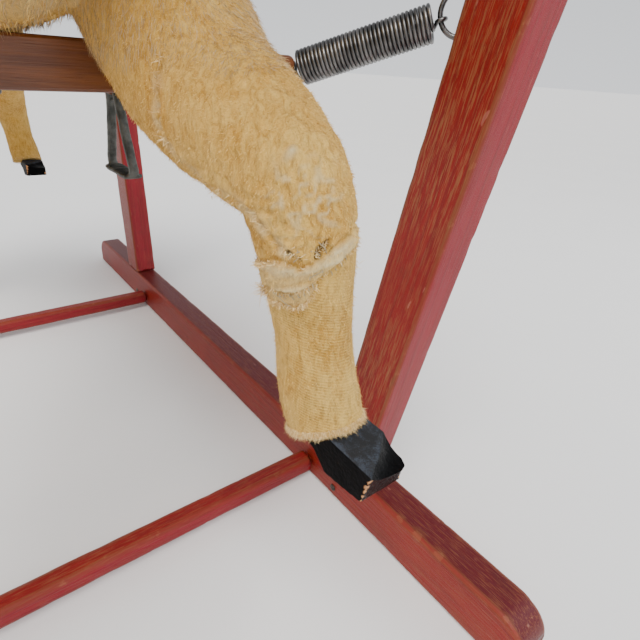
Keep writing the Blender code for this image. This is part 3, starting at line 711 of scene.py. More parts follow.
def glass_eye():
    """Amber glass with a dark pupil: colour by the distance from the eye's own axis."""
    s = Surface("amber_glass", Roughness=0.06, Coat_Weight=1.0, Coat_Roughness=0.02, IOR=1.5)
    away = s.attribute("away")
    streaks = s.noise(700.0, 4.0, 0.6)
    iris = s.mix(s.span(s.math("ADD", away, s.math("MULTIPLY", streaks, 0.25)), 0.55, 1.1),
                 (0.42, 0.14, 0.020), (0.07, 0.020, 0.006))
    return s.finish(s.mix(s.span(away, 0.50, 0.42), iris, (0.004, 0.003, 0.003)))


def thread(name, colour):
    s = Surface(name, Roughness=0.8, Sheen_Weight=0.3)
    twist = s.wave(900.0, s.stretched((1.0, 1.0, 1.0), turned=(0.4, 0.6, 0.2)), "DIAGONAL")
    uneven = s.math("ADD", s.math("MULTIPLY", twist, 0.5), s.math("MULTIPLY", s.noise(300.0), 0.5))
    shaded = s.mix(s.span(uneven, 0.25, 0.7), times(0.45, colour), colour)
    return s.finish(shaded, None, s.bump(twist, 0.0002))


PAINT = red_paint()
VARNISH = varnished_wood()
SPRING_STEEL = steel("spring_steel", (0.105, 0.105, 0.105), (0.24, 0.235, 0.23), 0.30)
DARK_IRON = steel("dark_iron", (0.055, 0.050, 0.045), (0.13, 0.115, 0.10), 0.8)
BRASS = steel("old_brass", (0.32, 0.20, 0.07), (0.55, 0.38, 0.15), 0.5)
MOHAIR = mohair("golden_mohair", (0.62, 0.325, 0.056), (0.90, 0.62, 0.17), (0.28, 0.125, 0.020))
RIBBED = mohair("ribbed_mohair", (0.58, 0.300, 0.046), (0.90, 0.63, 0.19), (0.25, 0.105, 0.016), rib=1.0)
FUZZ = hair("mohair_pile", (0.50, 0.255, 0.036), (1.0, 0.72, 0.24))
# Longer greyish-beige hair of the chest and shoulders, its colour darkened further to paint the shadow that the body
# casts there.
SHADED_LONG_FUZZ = hair("long_mohair_painted_shadow", (0.34, 0.235, 0.115), (0.66, 0.50, 0.29))
TUFT = hair("loose_threads", (0.55, 0.33, 0.10), (0.96, 0.76, 0.40))
HORSEHAIR = hair("horsehair", (0.10, 0.055, 0.022), (0.50, 0.34, 0.16))
HOOF_PAINT = black_paint()
SADDLE_LEATHER = leather("saddle_leather", (0.080, 0.026, 0.010), (0.165, 0.062, 0.024))
STRAP_LEATHER = leather("strap_leather", (0.050, 0.018, 0.008), (0.115, 0.044, 0.019))
FELT = felt("red_felt", (0.16, 0.012, 0.016), (0.30, 0.032, 0.036))
BINDING = felt("cream_binding", (0.40, 0.30, 0.16), (0.62, 0.50, 0.30))
EAR_LINING = felt("ear_lining", (0.36, 0.21, 0.12), (0.52, 0.34, 0.21))
IRON = cast_iron()
EYE_GLASS = glass_eye()
CREAM_THREAD = thread("cream_thread", (0.62, 0.47, 0.25))
DARK_THREAD = thread("dark_thread", (0.06, 0.035, 0.02))


# ---------------------------------------------------------------- camera, light and floor

def make_camera():
    data = bpy.data.cameras.new("camera")
    data.sensor_width = 36.0
    data.lens = 27.34
    data.clip_start = 0.01
    camera = bpy.data.objects.new("camera", data)
    bpy.context.scene.collection.objects.link(camera)
    down = Vector((0.3975, -0.2382, -0.8860))
    ahead = Vector((-0.6851, 0.5647, -0.4596)).normalized()
    right = down.cross(ahead).normalized()
    down = ahead.cross(right)
    place = Matrix((right, -down, -ahead)).transposed().to_4x4()
    place.translation = (0.630, -0.036, 0.450)
    camera.matrix_world = place
    bpy.context.scene.camera = camera


def area_light(name, place, target, size, power, colour):
    data = bpy.data.lights.new(name, "AREA")
    data.shape = "DISK"
    data.size = size
    data.energy = power
    data.color = colour
    light = bpy.data.objects.new(name, data)
    bpy.context.scene.collection.objects.link(light)
    light.location = place
    light.rotation_mode = "QUATERNION"
    light.rotation_quaternion = (Vector(target) - Vector(place)).to_track_quat("-Z", "Y")


def make_studio():
    sun = bpy.data.lights.new("soft_key", "SUN")
    sun.energy = 3.3
    sun.angle = math.radians(38)
    sun.color = (1.0, 0.975, 0.94)
    key = bpy.data.objects.new("soft_key", sun)
    bpy.context.scene.collection.objects.link(key)
    key.rotation_mode = "QUATERNION"
    key.rotation_quaternion = Vector((-1.25, 1.15, -2.4)).to_track_quat("-Z", "Y")
    area_light("fill", (1.6, 1.9, 1.1), (0.3, 0.1, 0.4), 1.4, 14, (0.88, 0.94, 1.0))
    world = bpy.data.worlds.new("studio")
    world.use_nodes = True
    nodes, links = world.node_tree.nodes, world.node_tree.links
    background = nodes["Background"]
    background.inputs["Color"].default_value = (0.95, 0.97, 1.0, 1.0)
    height = nodes.new("ShaderNodeSeparateXYZ")
    links.new(nodes.new("ShaderNodeTexCoord").outputs["Generated"], height.inputs[0])
    glow = nodes.new("ShaderNodeMapRange")
    glow.inputs["From Min"].default_value = 0.0
    glow.inputs["From Max"].default_value = 0.8
    glow.inputs["To Min"].default_value = 1.12
    glow.inputs["To Max"].default_value = 0.50
    links.new(height.outputs["Z"], glow.inputs["Value"])
    links.new(glow.outputs[0], background.inputs["Strength"])
    bpy.context.scene.world = world
    floor_paint = Surface("pale_floor", Roughness=0.9)
    pale = floor_paint.mix(floor_paint.noise(3.0), (0.90, 0.90, 0.90), (0.94, 0.94, 0.94))
    reach, level = 60.0, -0.0008
    corners = [(reach * x, reach * y, level) for x, y in ((-1, -1), (1, -1), (1, 1), (-1, 1))]
    build("floor", corners, [(0, 1, 2, 3)], floor_paint.finish(pale))


# ---------------------------------------------------------------- the wooden stand

def board_profile(side_steps=9, corner_steps=4):
    """Round a rectangle with eased corners: place on the flats (-1 to 1, twice), outward direction, face."""
    rows = []
    for face in range(4):
        for step in range(side_steps):
            t = -1 + 2 * (step + 0.5) / side_steps
            flat = [(1, t), (-t, 1), (-1, -t), (t, -1)][face]
            out = [(1, 0), (0, 1), (-1, 0), (0, -1)][face]
            rows.append((*flat, *out, face))
        corner = [(1, 1), (-1, 1), (-1, -1), (1, -1)][face]
        for step in range(corner_steps + 1):
            angle = math.pi / 2 * (face + step / corner_steps)
            rows.append((*corner, math.cos(angle), math.sin(angle), face + step / corner_steps))
    return np.array(rows)


def board(name, centres, halves, axis_a, axis_b, tones, wear, seed, arris=0.0035, rubs=()):
    """A long piece of timber. centres is rows of x, y, z; halves its half sizes along the axes.

    tones and wear have one number for each face, in the order +a, +b, -a, -b. rubs are places worn bare:
    a point and a radius."""
    centres, halves = np.asarray(centres, float), np.asarray(halves, float)
    axis_a, axis_b = np.asarray(axis_a, float), np.asarray(axis_b, float)
    profile = board_profile()
    ends = [(0.0, 1.0), (0.25 * arris, 0.5), (0.75 * arris, 0.14), (arris, 0.0)]
    along = unit(centres[1] - centres[0])
    rows = []
    for back, inset in ends:
        rows.append((centres[0] + along * back, halves[0], inset * arris))
    for centre, half in zip(centres[1:-1], halves[1:-1]):
        rows.append((centre, half, 0.0))
    along_end = unit(centres[-1] - centres[-2])
    for back, inset in reversed(ends):
        rows.append((centres[-1] - along_end * back, halves[-1], inset * arris))
    rings, grains, edges = [], [], []
    start = centres[0]
    for centre, half, inset in rows:
        a = profile[:, 0] * (half[0] - arris) + (arris - inset) * profile[:, 2]
        b = profile[:, 1] * (half[1] - arris) + (arris - inset) * profile[:, 3]
        rings.append(centre + a[:, None] * axis_a + b[:, None] * axis_b)
        distance = np.linalg.norm(centre - start)
        grains.append(np.stack([a + seed * 0.37, b - seed * 0.21, np.full(len(a), distance + seed)], axis=1))
        to_corner = np.where(np.abs(profile[:, 2] * profile[:, 3]) > 1e-6, 0.0,
                             np.where(np.abs(profile[:, 2]) > 0.5, (1 - np.abs(profile[:, 1])) * half[1],
                                      (1 - np.abs(profile[:, 0])) * half[0]))
        edges.append(np.maximum(np.exp(-to_corner / 0.0018), 0.8 if inset > 0 else 0.0))
    rings, grains, edges = np.array(rings), np.concatenate(grains), np.concatenate(edges)
    points = rings.reshape(-1, 3)
    out = np.tile(profile[:, 2:3] * axis_a + profile[:, 3:4] * axis_b, (len(rows), 1))
    rough = value_noise(points, 0.016, seed)
    depth = 0.0002 + 0.0004 * edges * ramp(rough, 0.0, 0.8)
    depth = depth + 0.00010 * value_noise(grains * (1, 1, 0.06), 0.0016, seed)
    rng = np.random.default_rng(seed)
    arris_spots = points[edges > 0.97]
    for spot in arris_spots[rng.integers(0, len(arris_spots), 12)]:
        size = rng.uniform(0.0015, 0.004)
        depth += rng.uniform(0.0003, 0.0008) * np.exp(-np.sum((points - spot) ** 2, axis=1) / size**2)
    for place, radius in rubs:
        edges = np.maximum(edges, 1.35 * np.exp(-np.sum((points - np.array(place)) ** 2, axis=1) / radius**2))
    points = points - out * np.maximum(depth, 0)[:, None]
    obj = skin(name, points.reshape(rings.shape), PAINT)
    face = np.tile(profile[:, 4], len(rows))
    cycle = np.arange(5)
    set_attribute(obj, "grain", grains)
    set_attribute(obj, "edge", edges)
    # tone: towards 1 a face gets the pinker red of a painted sheen, above 1 it is darkened.
    set_attribute(obj, "tone", np.interp(face, cycle, [*tones, tones[0]]))
    streaks = np.interp(face, cycle, [*wear, wear[0]]) * (0.75 + 0.35 * value_noise(points, 0.09, seed + 5))
    set_attribute(obj, "worn", np.clip(streaks, 0, 1))
    return attach(obj, "stand", name.removesuffix("_timber"))


# Bare places along a rail's inner arris: x and radius
RAIL_RUBS = ((0.425, 0.010), (0.448, 0.013), (0.474, 0.012), (0.497, 0.007), (0.548, 0.010), (0.30, 0.006),
             (-0.33, 0.008), (-0.52, 0.014), (0.12, 0.006), (-0.08, 0.007))
# Bare places on a post: row, which way along X, radius
POST_RUBS = ((1, -1, 0.010), (60, 1, 0.004), (118, 1, 0.005), (170, 1, 0.006), (30, -1, 0.004))


def make_rails():
    end_radius = 0.030
    for seed, (side_name, side) in enumerate(SIDES):
        low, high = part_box(side_name + "_base_rail")
        half_length, height = high.x, high.z
        y = (low.y + high.y) / 2
        curve = [half_length - end_radius * (1 - math.sin(math.pi / 2 * k / 12)) for k in range(13)]
        straight = np.linspace(0, half_length - end_radius, 110, endpoint=False)
        places = np.concatenate([straight, curve])
        places = np.concatenate([-places[:0:-1], places])
        beyond = np.clip((np.abs(places) - (half_length - end_radius)) / end_radius, 0, 1)
        tops = height - end_radius * (1 - np.sqrt(1 - np.minimum(beyond, 0.995) ** 2))
        centres = np.stack([places, np.full(len(places), y), tops / 2], axis=1)
        halves = np.stack([np.full(len(places), (high.y - low.y) / 2), tops / 2], axis=1)
        inner = side * min(abs(low.y), abs(high.y))
        rubs = [((x, inner, height), radius) for x, radius in RAIL_RUBS]
        faces = (0.2, 1.5, 0.05, 0.2) if side > 0 else (0.05, 1.5, 0.2, 0.2)
        board(side_name + "_base_rail_timber", centres, halves, (0, 1, 0), (0, 0, 1), faces,
              (0.40, 0.45, 0.40, 0.3), seed + 1, 0.0042, rubs)


def make_posts():
    for seed, (corner, sign_x, sign_y) in enumerate(CORNERS):
        points = np.array([v.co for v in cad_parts[corner + "_post"].data.vertices])
        foot, top = points[:, 2].min(), points[:, 2].max()
        ends = []
        for level in (foot, top):
            near = points[np.abs(points[:, 2] - level) < 0.0045]
            ends.append((near.min(axis=0), near.max(axis=0)))
        share = np.linspace(0, 1, 190)[:, None]
        low = ends[0][0] * (1 - share) + ends[1][0] * share
        high = ends[0][1] * (1 - share) + ends[1][1] * share
        centres = (low + high) / 2
        centres[:, 2] = foot + (top - foot) * share[:, 0]
        halves = ((high - low) / 2)[:, :2]
        inner_y = (0.30, 0.95) if sign_y > 0 else (0.95, 0.30)
        # The front and back faces get the pinker red of a painted sheen; the sides keep the brown red.
        tones = (0.95, 0.18, 0.75, 0.18)
        rubs = [(centres[k] + (sign_x * halves[k, 0] * a, -sign_y * halves[k, 1], 0.0), radius)
                for k, a, radius in POST_RUBS]
        board(corner + "_post_timber", centres, halves, (1, 0, 0), (0, 1, 0), tones,
              (0.22, inner_y[0], 0.30, inner_y[1]), seed + 4, 0.0032, rubs)


def make_cross_rails():
    for seed, end in enumerate(("front", "rear")):
        low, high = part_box(end + "_cross_rail")
        count = 130
        places = np.linspace(low.y, high.y, count)
        middle = (low + high) / 2
        centres = np.stack([np.full(count, middle.x), places, np.full(count, middle.z)], axis=1)
        halves = np.tile(((high.x - low.x) / 2, (high.z - low.z) / 2), (count, 1))
        # The front and back faces get the pinker red of a painted sheen.
        board(end + "_cross_rail_timber", centres, halves, (1, 0, 0), (0, 0, 1), (0.95, 0.35, 0.6, 0.4),
              (0.30, 0.65, 0.3, 0.3), seed + 11, 0.0050)


def slotted_head(name, centre, axis, radius, height, body, node):
    """A domed screw head with a straight slot."""
    axis = Vector(axis).normalized()
    side = axis.orthogonal().normalized()
    turned = Matrix.Rotation(0.6, 3, axis) @ side
    other = axis.cross(turned)
    rings = []
    for level in np.linspace(0, 1, 14):
        share = math.cos(level * math.pi / 2) if level < 1 else 0.02
        lift = height * (0.25 + 0.75 * math.sin(level * math.pi / 2)) if level > 0 else 0.0
        ring = []
        for angle in circle_of(40):
            a, b = math.cos(angle) * share, math.sin(angle) * share
            sunk = height * 0.45 * (1 - ramp(abs(a), 0.10, 0.17)) if level > 0 else 0.0
            rise = axis * max(lift - sunk, 0.0001)
            ring.append(Vector(centre) + turned * a * radius + other * b * radius + rise)
        rings.append(ring)
    obj = skin(name, rings, DARK_IRON)
    return attach(obj, body, node)


def make_screws():
    for corner, _, sign_y in CORNERS:
        low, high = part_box(corner + "_rail_screw")
        centre = (low + high) / 2
        centre.y = sign_y * max(abs(low.y), abs(high.y))
        slotted_head(corner + "_rail_screw_head", centre, (0, -sign_y, 0), (high.x - low.x) / 2,
                     high.y - low.y, "stand", corner + "_rail_screw")
    for end in ("front", "rear"):
        low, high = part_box(end + "_bar_bolt")
        centre = (low + high) / 2
        centre.z = high.z
        slotted_head(end + "_bar_bolt_head", centre, (0, 0, -1), (high.x - low.x) / 2, high.z - low.z,
                     "horse", end + "_bar_bolt")


# ---------------------------------------------------------------- springs, rings and staples

WIRE = 0.00151
COIL_RADIUS = 0.0117
COIL_START, COIL_END, TURNS = 0.0205, 0.1212, 33
SPRING_CUTS = (0.0990, 0.0530)
LEAD_TURNS = 1.6
TURN_STEPS = 24
BAR_HOOK, RING_HOOK = 0.0031, 0.0037
LEAD_START, LEAD_RADIUS, TAIL_RADIUS = 0.0118, 0.0030, 0.0036
RING_RADIUS, RING_WIRE = 0.0155, 0.0020
STAPLE_HALF_WIDTH, STAPLE_WIRE = 0.0050, 0.0013


def staple_path(foot, out, across, reach, half_width):
    points = [foot + across * half_width]
    for step in range(17):
        angle = math.pi * step / 16
        points.append(foot + out * (reach - half_width + half_width * math.sin(angle))
                      + across * half_width * math.cos(angle))
    points.append(foot - across * half_width)
    return points


def spring_path(start, pull, out, up, staple_end, ring_near):
    """The spring's wire: hook round the bar's staple, tapered turns, close turns, hook round the ring."""
    points, travel = [], []

    def put(place, along):
        points.append(place)
        travel.append(along)

    def around(angle, radius):
        return (out * math.cos(angle) + up * math.sin(angle)) * radius

    for angle in np.radians(np.linspace(35, 300, 16)):
        put(staple_end + (pull * math.cos(angle) + out * math.sin(angle)) * BAR_HOOK, 0.006)
    for step in range(int(TURN_STEPS * LEAD_TURNS)):
        turn = step / TURN_STEPS
        radius = LEAD_RADIUS + (COIL_RADIUS - LEAD_RADIUS) * ramp(turn / LEAD_TURNS, 0, 1)
        along = LEAD_START + (COIL_START - LEAD_START) * (turn / LEAD_TURNS)
        put(start + pull * along + around(-math.pi / 2 + turn * 2 * math.pi, radius), LEAD_START)
    first_angle = -math.pi / 2 + LEAD_TURNS * 2 * math.pi
    for step in range(TURN_STEPS * TURNS + 1):
        turn = step / TURN_STEPS
        along = COIL_START + (COIL_END - COIL_START) * turn / TURNS
        put(start + pull * along + around(first_angle + turn * 2 * math.pi, COIL_RADIUS), along)
    last_angle = first_angle + TURNS * 2 * math.pi
    for step in range(1, 15):
        share = step / 14
        radius = COIL_RADIUS + (TAIL_RADIUS - COIL_RADIUS) * ramp(share, 0, 1)
        along = COIL_END + 0.0010 * share
        put(start + pull * along + around(last_angle + share * math.pi * 0.9, radius), COIL_END)
    for angle in np.radians(np.linspace(-120, 150, 18)):
        put(ring_near + (pull * math.cos(angle) + out * math.sin(angle)) * RING_HOOK, COIL_END)
    return np.array([list(p) for p in points]), np.array(travel)


def make_staple(name, foot, out, across, reach, body, node):
    path = staple_path(foot, out, across, reach, STAPLE_HALF_WIDTH)
    attach(tube(name, path, STAPLE_WIRE, SPRING_STEEL, 12), body, node)


def make_suspension():
    for corner, sign_x, sign_y in CORNERS:
        low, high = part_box(corner + "_ring")
        ring_middle = (low + high) / 2
        low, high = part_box(corner + "_bar_staple")
        start = (low + high) / 2
        start.y = sign_y * min(abs(low.y), abs(high.y))
        staple_reach = high.y - low.y - STAPLE_WIRE
        pull = (ring_middle - start).normalized()
        out = UP.cross(pull).normalized()
        up = pull.cross(out)

        circle = [ring_middle + (pull * math.cos(a) + up * math.sin(a)) * RING_RADIUS for a in circle_of(64)]
        ring = tube(corner + "_hanging_ring", circle, RING_WIRE, SPRING_STEEL, 14, closed=True)
        attach(ring, "stand", corner + "_ring")

        low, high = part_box(corner + "_post_staple")
        foot = (low + high) / 2
        foot.x = sign_x * max(abs(low.x), abs(high.x))
        make_staple(corner + "_post_eye", foot, Vector((-sign_x, 0, 0)), Vector((0, 1, 0)),
                    high.x - low.x - STAPLE_WIRE, "stand", corner + "_post_staple")
        make_staple(corner + "_bar_eye", start, Vector((0, sign_y, 0)), UP, staple_reach, "horse",
                    corner + "_bar_staple")

        staple_end = start + Vector((0, sign_y * staple_reach, 0))
        ring_near = ring_middle - pull * RING_RADIUS
        points, travel = spring_path(start, pull, out, up, staple_end, ring_near)
        outer, inner = SPRING_CUTS
        within = (travel >= inner) & (travel <= outer)
        parts = [("post_end", travel >= outer, "stand", "front_springs", 0.1200, outer),
                 ("middle", within, "front_springs", "rear_springs", outer, inner),
                 ("bar_end", travel <= inner, "rear_springs", "horse", inner, 0.0240)]
        for part_name, chosen, body_a, body_b, far, near in parts:
            places = np.flatnonzero(chosen)
            places = np.arange(max(places[0] - 1, 0), places[-1] + 1)
            piece = tube(f"{corner}_coil_{part_name}", points[places], WIRE, SPRING_STEEL, 9)
            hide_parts(corner + "_spring")
            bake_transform(piece)


def finish_bars():
    for end in ("front", "rear"):
        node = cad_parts[end + "_cross_bar"]
        node.data.materials.clear()
        node.data.materials.append(VARNISH)


make_camera()
make_studio()
make_rails()
make_posts()
make_cross_rails()
make_screws()
make_suspension()
finish_bars()


# ---------------------------------------------------------------- legs and hooves

# The left foreleg's seam down its inner side, and the mend in its knee
SEAM = [(0.386, 0.062, 0.470), (0.381, 0.061, 0.449), (0.381, 0.058, 0.432), (0.378, 0.062, 0.413),
        (0.397, 0.070, 0.398), (0.420, 0.074, 0.3925), (0.437, 0.078, 0.389), (0.443, 0.080, 0.384),
        (0.4495, 0.083, 0.378), (0.4535, 0.0865, 0.3725)]
CREASE = [(0.4505, 0.0905, 0.4185), (0.4475, 0.0870, 0.4120), (0.4420, 0.0820, 0.4060)]
# Two slits above the bandage: middle line and half width
SLITS = [([(0.4628, 0.1030, 0.3800), (0.4630, 0.0995, 0.3762), (0.4617, 0.0975, 0.3718)], 0.0017),
         ([(0.4540, 0.0875, 0.3735), (0.4558, 0.0892, 0.3725), (0.4580, 0.0913, 0.3712)], 0.0011)]
# The bandage's edges: how far round the knee's inner front, and height over the bandage's plane
MEND_UPPER = ((0.0000, 0.0100), (0.0044, 0.0106), (0.0111, 0.0088), (0.0193, 0.0014), (0.0261, 0.0019),
              (0.0327, 0.0032), (0.0396, 0.0048), (0.0470, 0.0055))
MEND_LOWER = ((0.0000, -0.0030), (0.0055, -0.0037), (0.0127, -0.0083), (0.0194, -0.0095), (0.0262, -0.0076),
              (0.0332, -0.0049), (0.0403, -0.0026), (0.0470, -0.0035))
# The torn patch under it
PATCH_LOWER = ((0.0015, -0.0040), (0.0041, -0.0109), (0.0108, -0.0142), (0.0180, -0.0184), (0.0228, -0.0178),
               (0.0259, -0.0131), (0.0275, -0.0076))


def distance_to_path(points, path):
    """How far each point is from a line through the path's points."""
    path = smooth_rows(path, 60)
    return np.min(np.linalg.norm(points[:, None] - path[None], axis=2), axis=1)


def mend_level(points):
    """Height above the middle of the bandage round the left knee, which slants up towards the front."""
    return points[:, 2] - (0.352 + 0.388 * (points[:, 0] - 0.432) + 0.35 * (points[:, 1] - 0.0875))


def mend_along(points):
    """How far round from the leg's inner rear, towards its outer front, measured straight across."""
    return 0.61 * (points[:, 0] - 0.4317) + 0.79 * (points[:, 1] - 0.0875)


def read_edge(rows, along):
    return np.interp(along, [row[0] for row in rows], [row[1] for row in rows])


def plush_lumps(points, seed, size=1.0):
    """Unevenness of a stuffed, brushed surface."""
    return size * (0.0011 * value_noise(points, 0.034, seed) + 0.0006 * value_noise(points, 0.013, seed + 1)
                   + 0.00028 * value_noise(points, 0.0042, seed + 2))


def pucker(points, centre, reach, seed, depth):
    """Short creases gathered round a height where the limb bends."""
    near = np.exp(-((points[:, 2] - centre) / reach) ** 2)
    folded = np.abs(value_noise(points * (0.8, 0.8, 2.2), 0.012, seed)) + 0.5 * np.abs(
        value_noise(points * (2.0, 2.0, 1.1), 0.008, seed + 3))
    return near * depth * (0.45 - folded)


MENDED_LEG = "left_foreleg"


def mend_knee(points, lift, worn, hollow, thin):
    """Bandage, patch, slits and seam: changes lift and thin in place and returns worn and hollow."""
    level, along = mend_level(points), mend_along(points)
    upper, lower = read_edge(MEND_UPPER, along), read_edge(MEND_LOWER, along)
    ragged = 0.0009 * value_noise(points, 0.0030, 31) + 0.0006 * value_noise(points, 0.0013, 32)
    band = ramp(level - lower + ragged, -0.0005, 0.0005) * ramp(upper - level + ragged, -0.0008, 0.0006)
    twisted = np.stack([along / 0.020, (level + 0.24 * along) / 0.0032, 0 * level], axis=1)
    folds = value_noise(twisted, 1.0, 33) + 0.5 * value_noise(twisted * (2.1, 2.3, 1), 1.0, 34)
    puff = np.exp(-((along - 0.010) / 0.009) ** 2) * np.exp(-((level - 0.003) / 0.007) ** 2)
    lift += band * (0.0016 + 0.0015 * folds + 0.0016 * puff)
    lift -= 0.0011 * np.exp(-((level - upper - 0.0012) / 0.0012) ** 2)
    lift -= 0.0008 * np.exp(-((level - lower + 0.0012) / 0.0010) ** 2)
    worn = np.maximum(worn, band * np.clip(0.55 + 0.5 * folds, 0.15, 1.0))
    patch = ramp(level - read_edge(PATCH_LOWER, along) + 1.3 * ragged, -0.0004, 0.0006) * (level < lower)
    patch *= ramp(along, 0.0010, 0.0025) * ramp(-along, -0.0280, -0.0265)
    weave = np.sin(along * 2 * math.pi / 0.0017) * np.sin(level * 2 * math.pi / 0.0021)
    lift += patch * (0.0009 + 0.0006 * value_noise(points, 0.0030, 37) + 0.00025 * weave)
    worn = np.maximum(worn, patch * (0.34 + 0.25 * weave))
    thin *= 1 - np.maximum(band, patch)
    for path, half_width in SLITS:
        away = distance_to_path(points, path) * (1 + 0.40 * value_noise(points, 0.0025, 36))
        inside = np.exp(-(away / half_width) ** 4)
        lift += 0.0008 * np.exp(-((away - half_width * 1.5) / 0.0011) ** 2) - 0.0030 * inside
        # Inside each slit: painted dark shade, through hollow.
        hollow = np.maximum(hollow, inside)
    away = distance_to_path(points, SEAM)
    lift += -0.0014 * np.exp(-(away / 0.0016) ** 2) + 0.0007 * np.exp(-((away - 0.0036) / 0.0018) ** 2)
    patchy = ramp(value_noise(points, 0.0045, 38), -0.5, 0.4)
    worn = np.maximum(worn, 0.75 * np.exp(-(away / 0.0034) ** 2) * patchy)
    away = distance_to_path(points, CREASE)
    lift += 0.0013 * np.exp(-(away / 0.0017) ** 2) - 0.0010 * np.exp(-((away - 0.0042) / 0.0020) ** 2)
    worn = np.maximum(worn, 0.9 * np.exp(-(away / 0.0018) ** 2))
    knee = np.exp(-((points[:, 2] - 0.398) / 0.015) ** 2) * ramp(points[:, 0], 0.440, 0.455)
    knee *= ramp(-points[:, 1], -0.116, -0.103)
    crinkle = 1 - np.abs(value_noise(points * (1.0, 1.0, 1.6), 0.0062, 39)) * 2.4
    lift += knee * 0.0011 * np.clip(crinkle, -0.6, 1)
    worn = np.maximum(worn, knee * ramp(crinkle, 0.45, 0.95) * 0.8)
    return worn, hollow


def make_leg(name, rows, side, seed):
    count, around = (330, 200) if name == MENDED_LEG else (130, 80)
    rings = limb_rings(rows, count, around, side)
    middle = rings.mean(axis=1, keepdims=True)
    out = unit(rings - middle).reshape(-1, 3)
    points = rings.reshape(-1, 3)
    lift = plush_lumps(points, seed)
    worn = np.zeros(len(points))
    hollow = np.zeros(len(points))
    lift += pucker(points, 0.392, 0.020, seed + 7, 0.0022)
    ribs = points[:, 2] + 0.24 * mend_along(points) + 0.00045 * value_noise(points, 0.009, seed + 8)
    thin = ramp(-points[:, 2], -0.372, -0.350) * (0.62 + 0.38 * value_noise(points, 0.014, seed + 9))
    if name == MENDED_LEG:
        worn, hollow = mend_knee(points, lift, worn, hollow, thin)
    points = points + out * lift[:, None]
    leg = skin(name + "_plush", points.reshape(rings.shape), RIBBED)
    set_attribute(leg, "worn", np.clip(worn, 0, 1))
    set_attribute(leg, "hollow", np.clip(hollow, 0, 1))
    set_attribute(leg, "rib", ribs * 2 * math.pi / 0.00165)
    set_attribute(leg, "thin", np.clip(thin, 0, 1))
    return attach(leg, "horse", name)


def fringe(name, rows, side, count, seed):
    """Pile that stands out over the hoof all round the leg's end."""
    around = 90
    ring = limb_rings(rows, 60, around, side)[-1]
    middle = ring.mean(axis=0)
    along = unit(np.array(rows[-1][:3]) - np.array(rows[-3][:3]))
    along[1] *= side
    rng = np.random.default_rng(seed)
    at = rng.random(count) * around
    k = at.astype(int) % around
    roots = ring[k] + (ring[(k + 1) % around] - ring[k]) * (at % 1)[:, None]
    out = unit(roots - middle)
    roots = roots - along * rng.uniform(-0.0006, 0.0040, count)[:, None] - out * 0.0004
    directions = out * rng.uniform(0.10, 0.60, (count, 1)) + along * 0.9 + rng.normal(0, 0.22, (count, 3))
    uneven = 0.75 + 0.35 * value_noise(roots, 0.006, seed)
    lengths = rng.uniform(0.0010, 0.0042, count) * uneven
    piece = hairs(name, roots, directions, lengths, 0.00026, TUFT, seed, curl=0.30)
    attach(piece, "horse")


# The hoof's outline from its ankle, along and up, and the chips in its paint: place, radius and depth
HOOF_OUTLINE = [(-0.0160, -0.0062), (0.0150, 0.0054), (0.0515, 0.0045), (0.0465, -0.0177), (0.0140, -0.0218),
                (0.0035, -0.0120)]
HOOF_CHIPS = [((0.0510, -0.0150, -0.0002), 0.0022, 0.0007), ((0.0500, -0.0155, -0.0045), 0.0026, 0.0008),
              ((0.0490, -0.0160, -0.0090), 0.0018, 0.0006), ((0.0480, -0.0160, -0.0125), 0.0015, 0.0005),
              ((0.0470, -0.0160, -0.0165), 0.0012, 0.0004), ((0.0490, 0.0150, -0.0150), 0.0026, 0.0008)]


